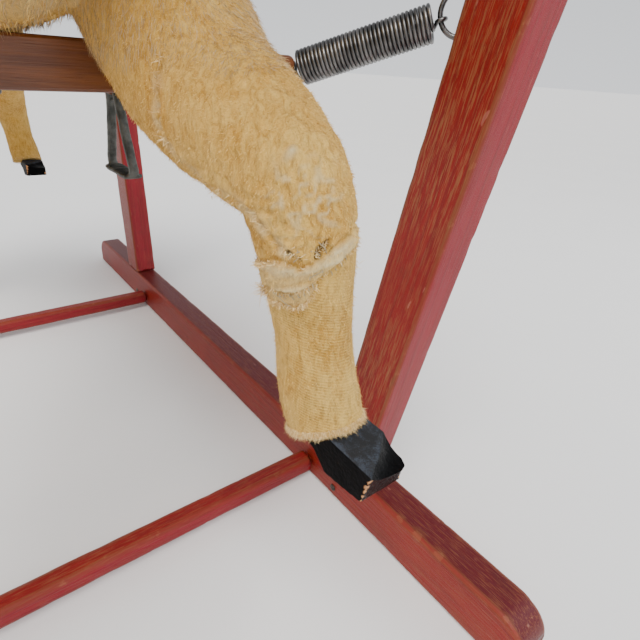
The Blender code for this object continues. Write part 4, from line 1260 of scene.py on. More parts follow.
def make_hoof(name, node, side, seed):
    """A wooden block, painted black: chips along the toe show the wood."""
    low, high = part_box(node)
    half = (high.y - low.y) / 2
    ankle = np.array((high.x - 0.0515, (high.y + low.y) / 2, high.z - 0.0054))
    rings = [[ankle + (x, half * s, z) for x, z in HOOF_OUTLINE] for s in (-1, 1)]
    block = skin(name, rings, HOOF_PAINT)
    remesh(block, 0.0008, 2)
    points, normals = get_points(block), get_normals(block)
    local = points - ankle
    local[:, 1] *= side
    top = ramp(normals[:, 2], 0.6, 0.9)
    depth = 0.00010 * (1 + value_noise(points, 0.003, seed))
    depth = depth + 0.0003 * (1 + value_noise(points, 0.011, seed + 1)) / 2
    bare = np.zeros(len(points))
    ragged = 1 + 0.45 * value_noise(points, 0.0026, seed + 2)
    for place, reach, deep in HOOF_CHIPS:
        away = np.linalg.norm(local - np.array(place), axis=1) * ragged
        share = np.clip(1 - (away / reach) ** 2, 0, 1)
        depth += deep * share
        bare = np.maximum(bare, ramp(share, 0.15, 0.32))
    set_points(block, points - normals * depth[:, None])
    moved = get_points(block) - ankle
    moved[:, 1] *= side
    beyond = 0.806 * (moved[:, 0] - 0.0500) + 0.592 * (moved[:, 1] + 0.0140)
    beyond += 0.0009 * value_noise(points, 0.006, seed + 6)
    inside = np.clip(beyond, 0, None)
    bowl = 0.0088 * (1 - np.exp(-inside / 0.0050))
    top_edge = np.array(HOOF_OUTLINE[:3])
    ceiling = np.interp(moved[:, 0], top_edge[:, 0], top_edge[:, 1]) - bowl
    hollow = ramp(beyond, 0.0002, 0.0010) * (moved[:, 2] > ceiling - 0.0010)
    moved[:, 2] = np.where(beyond > 0, np.minimum(moved[:, 2], ceiling), moved[:, 2])
    corner = np.clip(moved[:, 0] + moved[:, 1] - 0.0605, 0, None)
    moved[:, :2] -= 0.30 * corner[:, None]
    moved[:, 1] *= side
    set_points(block, moved + ankle)
    # The top faces get the painted blue-grey sky sheen; rim adds a pale broken line along the inner top arris and the
    # scoop's edge, scratches painted as a highlight.
    rim = np.exp(-((local[:, 1] + 0.0155) / 0.0011) ** 2) * top
    near = np.exp(-((beyond + 0.0004) / 0.0009) ** 2) * top
    rim = np.maximum(0.6 * rim, near) * ramp(value_noise(points, 0.0030, seed + 4), -0.3, 0.4)
    gloss = np.maximum(hollow, ramp(normals[:, 0], 0.6, 0.9))
    speckled = ramp(value_noise(points, 0.0020, seed + 3), -0.75, -0.3)
    set_attribute(block, "bare", bare * speckled * (1 - hollow))
    set_attribute(block, "scuff_and_sky_sheen", np.clip(0.80 * top * (1 - hollow) + rim, 0, 1))
    set_attribute(block, "gloss", gloss)
    return attach(block, "horse", node)


def pile(name, surface, count, length, width, material, seed, keep=None, lean=(0, 0, -0.6), stand=0.5,
         curl=0.25):
    """Short pile all over a plush surface, brushed the way lean points."""
    roots, normals = surface_samples(surface, count, seed, keep)
    rng = np.random.default_rng(seed + 1)
    flow = np.array(lean, float) + 0.35 * np.stack(
        [value_noise(roots, 0.03, seed + k) for k in range(3)], axis=1)
    flow = flow - normals * np.sum(flow * normals, axis=1, keepdims=True)
    directions = unit(normals * stand + flow)
    lengths = length * rng.uniform(0.55, 1.15, len(roots))
    roots = roots - normals * 0.0003
    piece = hairs(name, roots, directions, lengths, width, material, seed + 2, curl=curl, steps=2)
    attach(piece, "horse")


def tufts(name, places, per_place, length, seed, spread, down):
    """Loose threads standing out at each place, given as point and outward direction."""
    rng = np.random.default_rng(seed)
    roots, directions = [], []
    for place, outward in places:
        for _ in range(per_place):
            roots.append(np.array(place) + rng.normal(0, spread, 3))
            directions.append(np.array(outward) + rng.normal(0, 0.45, 3) - (0, 0, down * rng.random()))
    lengths = rng.uniform(0.4, 1.0, len(roots)) * length
    roots, directions = np.array(roots), np.array(directions)
    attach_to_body(hairs(name, roots, directions, lengths, 0.00045, TUFT, seed + 1, curl=0.45, steps=4), "horse")


def dress_left_knee(leg):
    """Stitches, loose threads and frayed edges of the mended knee."""
    points, normals = get_points(leg), get_normals(leg)

    def nearest(place):
        index = int(np.argmin(np.linalg.norm(points - np.array(place), axis=1)))
        return points[index], normals[index]

    def on_surface(path, count):
        return [nearest(place) for place in smooth_rows(path, count)]

    rng = np.random.default_rng(77)
    seam = on_surface(SEAM, 70)
    chosen = [seam[k] for k in sorted(rng.choice(len(seam), 44, replace=False))]
    tufts("seam_tufts", chosen, 5, 0.0050, 78, 0.0010, 0.3)

    level, along = mend_level(points), mend_along(points)
    over_lower, over_upper = level - read_edge(MEND_LOWER, along), level - read_edge(MEND_UPPER, along)
    over_patch = level - read_edge(PATCH_LOWER, along)
    front = (normals[:, 0] > -0.35) & (points[:, 2] > 0.33) & (points[:, 2] < 0.40)
    lower = np.flatnonzero((np.abs(over_lower + 0.0004) < 0.0005) & front)
    upper = np.flatnonzero((np.abs(over_upper) < 0.0006) & front & (along < 0.026))
    tear = np.flatnonzero((np.abs(over_patch + 0.0002) < 0.0006) & front & (along > 0.002) & (along < 0.0270))
    places = [(points[k], normals[k]) for k in rng.choice(lower, 210)]
    tufts("bandage_lower_fray", places, 2, 0.0026, 79, 0.0004, 0.9)
    places = [(points[k], normals[k]) for k in rng.choice(upper, 90)]
    tufts("bandage_upper_fray", places, 2, 0.0030, 80, 0.0005, 0.1)
    places = [(points[k], normals[k]) for k in rng.choice(tear, 150)]
    tufts("patch_fray", places, 3, 0.0032, 81, 0.0005, 0.9)
    tufts("side_tuft", [((0.4275, 0.0925, 0.3440), (-0.55, -0.75, -0.15))] * 3, 34, 0.0085, 82, 0.0016, 0.4)
    corner, _ = nearest((0.4590, 0.1290, 0.3620))
    tufts("outer_tuft", [(corner, (0.7, 0.7, 0.0))] * 2, 8, 0.0040, 83, 0.0012, 0.4)

    threads = []
    for path, half_width in SLITS:
        rows = smooth_rows(path, 7)
        across = unit(np.cross(tangents(rows), (0.93, -0.30, -0.05)))
        for k in range(1, 6):
            ends = []
            for sign in (-1, 1):
                slant = tangents(rows)[k] * rng.uniform(-0.0014, 0.0014) * sign
                reach = across[k] * sign * half_width * rng.uniform(1.3, 2.1)
                spot, normal = nearest(rows[k] + reach + slant)
                ends.append((spot + normal * 0.0004, normal))
            bow = (ends[0][0] + ends[1][0]) / 2 + ends[0][1] * 0.0006 + rng.normal(0, 0.0004, 3)
            threads.append(smooth_rows([ends[0][0], bow, ends[1][0]], 10))
    for k in range(16):
        share = k / 15
        along_at = 0.010 + 0.032 * share
        on_edge = lower[np.argmin(np.abs(along[lower] - along_at))]
        start, normal = points[on_edge], normals[on_edge]
        spot, other = nearest(start + np.array((0.0006, 0.0012, -0.0030 if k % 2 else -0.0022)))
        bow = (start + spot) / 2 + normal * 0.0012
        threads.append(smooth_rows([start + normal * 0.0005, bow, spot + other * 0.0003], 10))
    long_ones = [[(0.4435, 0.0845, 0.3500), (0.4480, 0.0860, 0.3485), (0.4520, 0.0880, 0.3460),
                  (0.4540, 0.0900, 0.3430)],
                 [(0.4560, 0.0895, 0.3530), (0.4572, 0.0905, 0.3500), (0.4568, 0.0915, 0.3470)],
                 [(0.4600, 0.0955, 0.3625), (0.4615, 0.0975, 0.3660), (0.4630, 0.1000, 0.3680)]]
    edges_of_slits = [nearest(row) for path, _ in SLITS for row in smooth_rows(path, 9)]
    tufts("slit_fray", edges_of_slits, 7, 0.0028, 84, 0.0013, 0.2)
    for path in long_ones:
        laid = [spot + normal * 0.0007 for spot, normal in on_surface(path, 12)]
        threads.append(smooth_rows(laid, 24))
    for k, path in enumerate(threads):
        piece = tube(f"mending_thread_{k}", path, 0.00026, CREAM_THREAD, 6)
        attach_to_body(piece, "horse")


def make_legs():
    legs = {}
    for side_name, side in SIDES:
        for limb, hoof, rows in (("foreleg", "fore_hoof", FORELEG), ("hind_leg", "hind_hoof", HIND_LEG)):
            seed = 20 + 7 * len(legs)
            name = f"{side_name}_{limb}"
            leg = make_leg(name, rows, side, seed)
            legs[name] = leg
            close = name == MENDED_LEG
            fringe(name + "_fringe", rows, side, 5200 if close else 1500, seed + 1)
            make_hoof(f"{side_name}_{hoof}_block", f"{side_name}_{hoof}", side, seed + 2)
            pile(name + "_pile", leg, 42000 if close else 12000, 0.0021, 0.00026 if close else 0.00045, FUZZ,
                 seed + 3, keep=lambda p, n: p[:, 2] < 0.50)
    dress_left_knee(legs[MENDED_LEG])
    return legs


# ---------------------------------------------------------------- body, neck and head

def inset(rows, by, count):
    return [(*row[:3], row[3] - by, row[4] - by) for row in rows[:count]]


def make_torso():
    rows = [(x, 0.0, z, tall, wide) for x, z, tall, wide in TORSO]
    shapes = [skin("barrel", limb_rings(rows, 90, 64))]
    for _, side in SIDES:
        shapes.append(skin("hip", limb_rings(inset(FORELEG, 0.004, 3), 20, 40, side)))
        shapes.append(skin("hip", limb_rings(inset(HIND_LEG, 0.003, 3), 20, 40, side)))
    shapes.append(skin("neck", limb_rings(inset(NECK, 0.002, 2), 20, 48)))
    torso = join_shapes("torso_plush", shapes, MOHAIR)
    remesh(torso, 0.0048, 7)
    points, normals = get_points(torso), get_normals(torso)
    seam = np.abs(points[:, 1]) + np.where(points[:, 2] < 0.60, 0, 1)
    lift = plush_lumps(points, 3, 1.7) - 0.0022 * np.exp(-(seam / 0.0040) ** 2)
    points = points + normals * lift[:, None]
    over_bar = np.abs(np.abs(points[:, 0]) - 0.2645) < 0.030
    underside = np.abs(normals[:, 2] + 1) < 0.5
    points[:, 2] = np.where(over_bar & underside, np.maximum(points[:, 2], 0.4576), points[:, 2])
    set_points(torso, points)
    set_attribute(torso, "worn", 0.35 * ramp(value_noise(points, 0.05, 8), 0.3, 0.8))
    set_level(torso, "hollow", 0)
    return attach(torso, "horse", "torso")


# Swells and hollows of the left half of the head: place, reach and height
HEAD_SWELLS = (((0.418, 0.037, 0.944), 0.011, 0.0055), ((0.414, 0.043, 0.925), 0.0105, -0.0050),
               ((0.395, 0.037, 0.893), 0.024, 0.0045), ((0.455, 0.030, 0.872), 0.020, -0.0022),
               ((0.545, 0.019, 0.853), 0.0085, 0.0042), ((0.553, 0.021, 0.852), 0.0038, -0.0075),
               ((0.470, 0.026, 0.905), 0.016, 0.0016))


def make_head():
    rows = [(x, y, z, 0.001 + a, b) for x, y, z, a, b in HEAD]
    shapes = [skin("neck", limb_rings(NECK, 60, 56)), skin("skull", limb_rings(rows, 70, 56))]
    jaw = [(0.368, 0.0, 0.915, 0.020, 0.014), (0.385, 0.0, 0.896, 0.034, 0.026),
           (0.412, 0.0, 0.884, 0.030, 0.026), (0.450, 0.0, 0.870, 0.020, 0.020),
           (0.480, 0.0, 0.860, 0.010, 0.010)]
    shapes.append(skin("jaw", limb_rings(jaw, 24, 32)))
    head = join_shapes("head_plush", shapes, MOHAIR)
    remesh(head, 0.0026, 7)
    points, normals = get_points(head), get_normals(head)
    lift = plush_lumps(points, 5)
    for _, side in SIDES:
        for place, reach, height in HEAD_SWELLS:
            away = np.linalg.norm(points - np.array(place) * (1, side, 1), axis=1)
            lift += height * np.exp(-(away / reach) ** 2)
    mouth = [(0.556, 0.0, 0.822), (0.549, 0.020, 0.8235), (0.530, 0.0295, 0.8300), (0.505, 0.0300, 0.8420)]
    mirrored = points.copy()
    mirrored[:, 1] = np.abs(mirrored[:, 1])
    to_mouth = distance_to_path(mirrored, mouth)
    lift -= 0.0036 * np.exp(-(to_mouth / 0.0030) ** 2)
    points = points + normals * lift[:, None]
    set_points(head, points)
    muzzle = ramp(points[:, 0], 0.520, 0.555)
    worn = 0.45 * muzzle * ramp(value_noise(points, 0.012, 9), -0.4, 0.6)
    set_attribute(head, "worn", np.clip(worn + 0.3 * ramp(value_noise(points, 0.05, 10), 0.3, 0.8), 0, 1))
    # The nostrils and the mouth groove are marked hollow, for painted dark shade.
    nostril = np.zeros(len(points))
    for _, side in SIDES:
        away = np.linalg.norm(points - np.array((0.5545, 0.0215 * side, 0.8510)), axis=1)
        nostril = np.maximum(nostril, np.exp(-(away / 0.0052) ** 4))
    set_attribute(head, "hollow", np.maximum(nostril, 0.8 * np.exp(-(to_mouth / 0.0021) ** 2)))
    attach(head, "horse", "neck_and_head")
    for side_name, side in SIDES:
        path = smooth_rows([(x, y * side, z) for x, y, z in mouth[1:]], 40)
        outward = np.array((0.2, side, 0.0))
        stitches(side_name + "_mouth_stitches", path + outward * 0.0004, outward, 0.0050, 0.0022, 0.0007,
                 DARK_THREAD)
    return head


def make_ears():
    for side_name, side in SIDES:
        rows = smooth_rows([(0.384, 0.024, 0.960, 0.0130, 1.9), (0.381, 0.028, 0.982, 0.0165, 1.75),
                            (0.381, 0.032, 1.004, 0.0145, 1.6), (0.385, 0.034, 1.020, 0.0090, 1.4),
                            (0.390, 0.035, 1.033, 0.0015, 1.2)], 34)
        for name, material, grow, forward in (("ear_plush", MOHAIR, 0.0, 0.0),
                                              ("ear_lining", EAR_LINING, -0.0012, 0.0045)):
            rings = []
            for x, y, z, width, wrap in rows:
                ring = []
                for turn, thinner, least in ((1, 0.0, 0.0008), (-1, 0.0022, 0.0004)):
                    reach = max(width + grow - thinner, least)
                    ring += [(x - math.cos(angle) * reach * 0.75 + forward,
                              (y + math.sin(angle) * reach * 0.85) * side, z)
                             for angle in np.linspace(-wrap * turn, wrap * turn, 25)]
                rings.append(ring)
            ear = skin(f"{side_name}_{name}", rings, material)
            if material is MOHAIR:
                set_level(ear, "worn", 0.1)
                set_level(ear, "hollow", 0)
                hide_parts(side_name + "_ear")
                pile(side_name + "_ear_pile", ear, 1500, 0.0030, 0.0005, FUZZ, 400 + side,
                     lean=(-0.3, 0, 0.8))
            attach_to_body(ear, "horse")


def make_eyes():
    for side_name, side in SIDES:
        axis = Vector((0.42, 0.86 * side, 0.16)).normalized()
        centre = Vector((0.4165, 0.0345 * side, 0.9265))
        across = axis.orthogonal().normalized()
        other = axis.cross(across)
        rings, away = [], []
        radius = 0.0096
        for tilt in np.linspace(0.03, 1.75, 22):
            bulge = 0.0012 * math.exp(-(tilt / 0.55) ** 2)
            middle = centre + axis * ((radius + bulge) * math.cos(tilt))
            reach = radius * math.sin(tilt)
            rings.append([middle + (across * math.cos(angle) + other * math.sin(angle)) * reach
                          for angle in circle_of(40)])
            away += [tilt] * 40
        eye = skin(side_name + "_glass_eye", rings, EYE_GLASS)
        set_attribute(eye, "away", away)
        attach(eye, "horse", side_name + "_eye")
        lid = []
        for angle in circle_of(48):
            opening = 0.86 - 0.20 * abs(math.sin(angle)) ** 3
            around = across * math.cos(angle) + other * math.sin(angle)
            lid.append(centre + axis * (radius * 0.62) + around * radius * opening * 1.05)
        ring = tube(side_name + "_eyelid", lid, 0.0019, STRAP_LEATHER, 10, closed=True)
        set_level(ring, "edge", 0)
        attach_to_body(ring, "horse")


def make_mane_and_tail():
    rng = np.random.default_rng(90)
    guides = []
    crest = smooth_rows([(0.176, 0.0, 0.712), (0.214, 0.0, 0.766), (0.252, 0.0, 0.826), (0.290, 0.0, 0.884),
                         (0.318, 0.0, 0.930), (0.345, 0.0, 0.966), (0.368, 0.0, 0.985)], 46)
    for x, _, z in crest:
        for _, side in SIDES:
            fall = rng.uniform(0.055, 0.085)
            lean = rng.uniform(-0.012, 0.004)
            wide = 0.030 + 0.022 * math.sin(math.pi * min(max((z - 0.71) / 0.26, 0), 1))
            guides.append([(x + 0.004, side * 0.004, z - 0.004, 0.004),
                           (x - 0.014 + lean, side * wide * 0.62, z + 0.006, 0.006),
                           (x - 0.012 + lean, side * wide, z - fall * 0.45, 0.008),
                           (x - 0.006 + lean * 2, side * (wide + 0.003), z - fall, 0.006)])
    mane = strands("mane_hair", guides, 26, 91)
    forelock = [[(0.366, 0.0, 0.984, 0.006), (0.392, 0.004 * k, 0.986, 0.008),
                 (0.418, 0.006 * k, 0.972, 0.008), (0.440, 0.007 * k, 0.948, 0.004)]
                for k in (-2, -1, 0, 1, 2)]
    attach(strands("forelock_hair", forelock, 40, 92), "horse")
    dock = []
    for angle in circle_of(16):
        a, b = 0.014 * math.cos(angle), 0.014 * math.sin(angle)
        dock.append([(-0.366, 0.3 * b, 0.652 + 0.3 * a, 0.006), (-0.410, 0.6 * b, 0.657 + 0.6 * a, 0.010),
                     (-0.454 - 0.5 * a, b, 0.628 + 0.4 * a, 0.013), (-0.478 - a, 1.25 * b, 0.560, 0.014),
                     (-0.491 - a, 1.35 * b, 0.480, 0.015), (-0.502 - 0.9 * a, b, 0.410, 0.013),
                     (-0.508 - 0.3 * a, 0.4 * b, 0.352 + 0.6 * a, 0.005)])
    tail = strands("tail_hair", dock, 130, 93, steps=16)
    for piece, node in ((mane, "mane"), (tail, "tail")):
        attach(piece, "horse", node)


def under_blanket(points):
    return (np.abs(points[:, 0] + 0.032) < 0.146) & (points[:, 2] > 0.552)


def on_chest(points, normals):
    return (points[:, 0] > 0.15) & (points[:, 2] < 0.56) & (normals[:, 2] < 0.75)


def on_shoulder(points, _):
    return points[:, 2] > 0.448 + 0.006 * value_noise(points, 0.012, 4)


def make_figure():
    legs = make_legs()
    torso = make_torso()
    head = make_head()
    pile("torso_pile", torso, 52000, 0.0046, 0.00055, FUZZ, 50, keep=lambda p, n: ~under_blanket(p),
         lean=(-0.35, 0, -0.6))
    pile("head_pile", head, 34000, 0.0026, 0.00045, FUZZ, 60, lean=(-0.5, 0, -0.5))
    pile("chest_hair", torso, 60000, 0.0065, 0.00034, SHADED_LONG_FUZZ, 70, keep=on_chest, lean=(0.05, 0, -1.1),
         stand=0.22, curl=0.16)
    for side_name, side in SIDES:
        pile(side_name + "_shoulder_hair", legs[side_name + "_foreleg"], 42000 if side > 0 else 16000, 0.0065,
             0.00030, SHADED_LONG_FUZZ, 72 + side, keep=on_shoulder, lean=(0.15, 0, -1.1), stand=0.18, curl=0.14)
    make_ears()
    make_eyes()
    make_mane_and_tail()
    return torso, head


# ---------------------------------------------------------------- saddlery

def tree_of(*objects):
    """A search tree over the faces of finished meshes, for laying leather and cloth on them."""
    points, faces = [], []
    for obj in objects:
        base = len(points)
        points += [vertex.co.copy() for vertex in obj.data.vertices]
        faces += [[index + base for index in polygon.vertices] for polygon in obj.data.polygons]
    return BVHTree.FromPolygons(points, faces)


def outermost(tree, origin, direction, reach=0.3):
    """The last hit of a ray from inside, or None."""
    start = Vector(origin) + Vector(direction) * reach
    return tree.ray_cast(start, -Vector(direction), reach)


def shell(name, outer, inner, material):
    """A closed sheet between two equal grids of points, given as rows, columns, 3."""
    outer, inner = np.asarray(outer, float), np.asarray(inner, float)
    rows, columns = outer.shape[:2]
    points = np.concatenate([outer.reshape(-1, 3), inner.reshape(-1, 3)])
    faces, base = [], rows * columns
    for i in range(rows - 1):
        for k in range(columns - 1):
            a, b = i * columns + k, (i + 1) * columns + k
            faces.append((a, a + 1, b + 1, b))
            faces.append((base + a, base + b, base + b + 1, base + a + 1))
    edge = list(range(columns)) + [i * columns + columns - 1 for i in range(1, rows)]
    edge += [(rows - 1) * columns + k for k in range(columns - 2, -1, -1)]
    edge += [i * columns for i in range(rows - 2, 0, -1)]
    for here, there in zip(edge, edge[1:] + edge[:1]):
        faces.append((here, there, base + there, base + here))
    return turn_out(build(name, points, faces, material))


def around_torso(tree, x, angles):
    """Points round the torso's section at x, at angles from the top towards its right."""
    found = []
    for angle in angles:
        direction = Vector((0.0, -math.sin(angle), math.cos(angle)))
        spot = outermost(tree, (x, 0.0, 0.585), direction)[0]
        if spot is not None:
            found.append(tuple(spot))
    return np.array(found)


def even_rows(points, count):
    """The points' line read at count even distances."""
    travelled = np.concatenate([[0], np.cumsum(np.linalg.norm(np.diff(points, axis=0), axis=1))])
    at = np.linspace(0, travelled[-1], count)
    return np.stack([np.interp(at, travelled, points[:, k]) for k in range(points.shape[1])], axis=1)


def outward_normals(grid):
    """The normals of a grid that lies on the torso, away from its middle."""
    normals = unit(np.cross(np.gradient(grid, axis=0), np.gradient(grid, axis=1)))
    facing = np.sum(normals * (grid - np.array((0, 0, 0.58))) * (0, 1, 1), axis=2, keepdims=True)
    return np.where(facing < 0, -normals, normals)


def laid_grid(tree, xs, level_of, count):
    """A grid over the torso: rows for each x, count points from one hem over the back to the other."""
    grid = []
    for x in xs:
        points = around_torso(tree, x, np.linspace(-2.2, 2.2, 221))
        grid.append(even_rows(points[points[:, 2] > level_of(x)], count))
    grid = np.array(grid)
    for _ in range(3):
        grid[1:-1] = (grid[:-2] + 2 * grid[1:-1] + grid[2:]) / 4
        grid[:, 1:-1] = (grid[:, :-2] + 2 * grid[:, 1:-1] + grid[:, 2:]) / 4
    return grid, outward_normals(grid)


def make_blanket(torso_tree):
    def level(x):
        corner = max(abs(x + 0.032) - 0.120, 0.0) / 0.030
        return 0.5505 + 0.022 * (1 - math.sqrt(max(1 - min(corner, 1.0) ** 2, 0.0)))

    rows, columns = 110, 170
    xs = np.linspace(-0.180, 0.116, rows)
    grid, normals = laid_grid(torso_tree, xs, level, columns)
    flat = grid.reshape(-1, 3)
    along = np.linspace(-1, 1, columns)[None, :, None]
    folds = 0.0005 * value_noise(flat, 0.024, 61) + 0.0003 * value_noise(flat, 0.009, 62)
    folds = folds.reshape(rows, columns, 1)
    ripple = 0.0014 * np.abs(along) ** 6 * np.sin(grid[:, :, :1] * 95 + 1.0)
    lift = np.maximum(folds + ripple, -0.0004) + 0.0006
    outer, inner = grid + normals * (0.0030 + lift), grid + normals * (0.0006 + lift)
    blanket = shell("blanket_cloth", outer, inner, FELT)
    attach(blanket, "horse", "saddle_blanket")
    hem = np.concatenate([outer[2:-2, 2], outer[-3, 2:-2], outer[-3:1:-1, -3], outer[2, -3:1:-1]])
    out = np.concatenate([normals[2:-2, 2], normals[-3, 2:-2], normals[-3:1:-1, -3], normals[2, -3:1:-1]])
    hem, out = hem[::2], out[::2]
    hem = hem + out * 0.0002
    for _ in range(2):
        hem = (np.roll(hem, 1, axis=0) + 2 * hem + np.roll(hem, -1, axis=0)) / 4
    rings = strap_rings(hem, out, 0.0075, 0.0016)
    binding = skin("blanket_binding", rings, BINDING, closed=True)
    attach(binding, "horse")
    line, facing = np.vstack([hem, hem[:1]]), np.vstack([out, out[:1]])
    sewn = stitches("blanket_stitches", line + facing * 0.0009, facing, 0.0038, 0.0026, 0.00042, DARK_THREAD)
    return blanket


def make_girth(torso_tree):
    count = 150
    grid = []
    for x in np.linspace(0.0405, 0.0795, 13):
        points = around_torso(torso_tree, x, np.linspace(math.radians(98), math.radians(262), 181))
        grid.append(even_rows(points[points[:, 2] < 0.556], count))
    grid = np.array(grid)
    for _ in range(2):
        grid[:, 1:-1] = (grid[:, :-2] + 2 * grid[:, 1:-1] + grid[:, 2:]) / 4
    normals = outward_normals(grid)
    eased = np.array([0.45, 0.9] + [1.0] * 9 + [0.9, 0.45])[:, None, None]
    outer, inner = grid + normals * (0.0011 + 0.0022 * eased), grid + normals * 0.0009
    girth = shell("girth_strap", outer, inner, STRAP_LEATHER)
    edge = np.tile(np.array([1.0, 0.6] + [0.05] * 9 + [0.6, 1.0])[:, None], (1, count)).ravel()
    set_attribute(girth, "edge", np.concatenate([edge, edge]))
    attach(girth, "horse", "girth")
    for row, name in ((2, "rear"), (10, "front")):
        stitches(f"girth_{name}_stitches", grid[row] + normals[row] * 0.0034, normals[row], 0.0036, 0.0022,
                 0.00040, CREAM_THREAD)
    for at, side_name in ((10, "left"), (count - 11, "right")):
        middle, out = Vector(grid[6, at]), Vector(normals[6, at])
        down = (Vector(grid[6, at + (4 if side_name == "left" else -4)]) - middle).normalized()
        buckle(side_name + "_girth_buckle", middle + out * 0.0046, out, down, 0.046, 0.030, 0.0021, "horse")


def buckle(name, middle, out, down, width, height, radius, body):
    """A bar buckle lying on a strap: frame and prong."""
    across = out.cross(down).normalized()
    corners = []
    for quarter, (a, b) in enumerate(((1, 1), (-1, 1), (-1, -1), (1, -1))):
        for step in range(7):
            angle = math.pi / 2 * (quarter + step / 6)
            corners.append(middle + across * (a * (width / 2 - 0.0035) + 0.0035 * math.cos(angle))
                           + down * (b * (height / 2 - 0.0035) + 0.0035 * math.sin(angle)))
    ring = tube(name + "_frame", corners, radius, BRASS, 10, closed=True)
    attach(ring, body)
    bow = [middle - down * height / 2 + out * 0.0006,
           middle + out * (radius * 0.9),
           middle + down * (height / 2 - 0.0002) + out * (radius * 1.1),
           middle + down * (height / 2 + radius) + out * (radius * 0.7)]
    prong = tube(name + "_prong", smooth_rows([tuple(p) for p in bow], 22), radius * 0.62, BRASS, 8)
    attach(prong, body)


def make_flaps(cover_tree):
    outline = [(-0.040, 0.664), (-0.035, 0.636), (-0.030, 0.606), (-0.018, 0.578), (0.008, 0.560),
               (0.045, 0.556), (0.080, 0.565), (0.103, 0.588), (0.111, 0.620), (0.110, 0.664)]
    smooth = smooth_rows(outline, 120)
    top = np.stack([np.linspace(0.110, -0.040, 42)[1:-1], np.full(40, 0.664)], axis=1)
    ring = np.vstack([smooth, top])
    centre = np.array((0.036, 0.616))
    shares = np.array([0.02, 0.12, 0.24, 0.36, 0.48, 0.60, 0.70, 0.79, 0.86, 0.91, 0.945, 0.97,
                       0.985, 0.9935, 0.998, 1.0])
    for side_name, side in SIDES:
        grid, facing = [], []
        for share in shares:
            row, row_out = [], []
            for x, z in ring:
                px, pz = centre + (np.array((x, z)) - centre) * share
                start = Vector((px, 0.25 * side, pz))
                spot, normal, _, _ = cover_tree.ray_cast(start, Vector((0, -side, 0)), 0.3)
                row.append(tuple(spot))
                row_out.append(tuple(normal))
            grid.append(row)
            facing.append(row_out)
        grid, facing = np.array(grid), unit(np.array(facing))
        for _ in range(4):
            facing[1:-1] = unit(facing[:-2] + facing[2:] + facing[1:-1])
            facing = unit(np.roll(facing, 1, axis=1) + facing + np.roll(facing, -1, axis=1))
        rounded = np.sqrt(np.clip(1 - ((shares - 0.985) / 0.015) ** 2, 0, 1))
        eased = np.where(shares > 0.985, rounded, 1.0)
        crown = 0.0008 * value_noise(grid.reshape(-1, 3), 0.028, 65).reshape(grid.shape[:2])
        groove = -0.0007 * np.exp(-((shares - 0.952) / 0.008) ** 2)
        lift = 0.0006 + 0.0036 * (0.25 + 0.75 * eased[:, None]) + (crown + groove[:, None]) * eased[:, None]
        outer = grid + facing * lift[:, :, None]
        inner = grid + facing * 0.0006
        columns = len(ring)
        rings = np.concatenate([inner[::-1], outer])[:, ::side]
        flap = skin(side_name + "_flap_leather", rings[::-1], SADDLE_LEATHER)
        edge = np.concatenate([shares[::-1], shares])
        set_attribute(flap, "edge", np.repeat(np.clip((edge - 0.97) / 0.03, 0, 1), columns))
        attach(flap, "horse", side_name + "_saddle_flap")
        out = facing[11, :len(smooth)]
        stitches(side_name + "_flap_stitches", outer[11, :len(smooth)] + out * 0.0001, out, 0.0036, 0.0024,
                 0.00045, CREAM_THREAD)


# The seat's sections: x, y, centre z, half height, half width
SEAT = [(-0.160, 0, 0.716, 0.0095, 0.0180), (-0.148, 0, 0.712, 0.0320, 0.0610),
        (-0.115, 0, 0.702, 0.0360, 0.0790), (-0.050, 0, 0.694, 0.0265, 0.0810),
        (0.020, 0, 0.694, 0.0275, 0.0750), (0.070, 0, 0.702, 0.0335, 0.0590),
        (0.100, 0, 0.714, 0.0315, 0.0320), (0.1095, 0, 0.720, 0.0100, 0.0125)]


def seat_level(x):
    return np.interp(x, [row[0] for row in SEAT], [row[2] for row in SEAT])


def seat_half_width(x):
    return np.interp(x, [row[0] for row in SEAT], [row[4] for row in SEAT])


def straight_down(tree, x, y):
    """Where a plumb line first touches, and the normal there."""
    return tree.ray_cast(Vector((x, y, 0.9)), Vector((0, 0, -1)), 0.5)[:2]


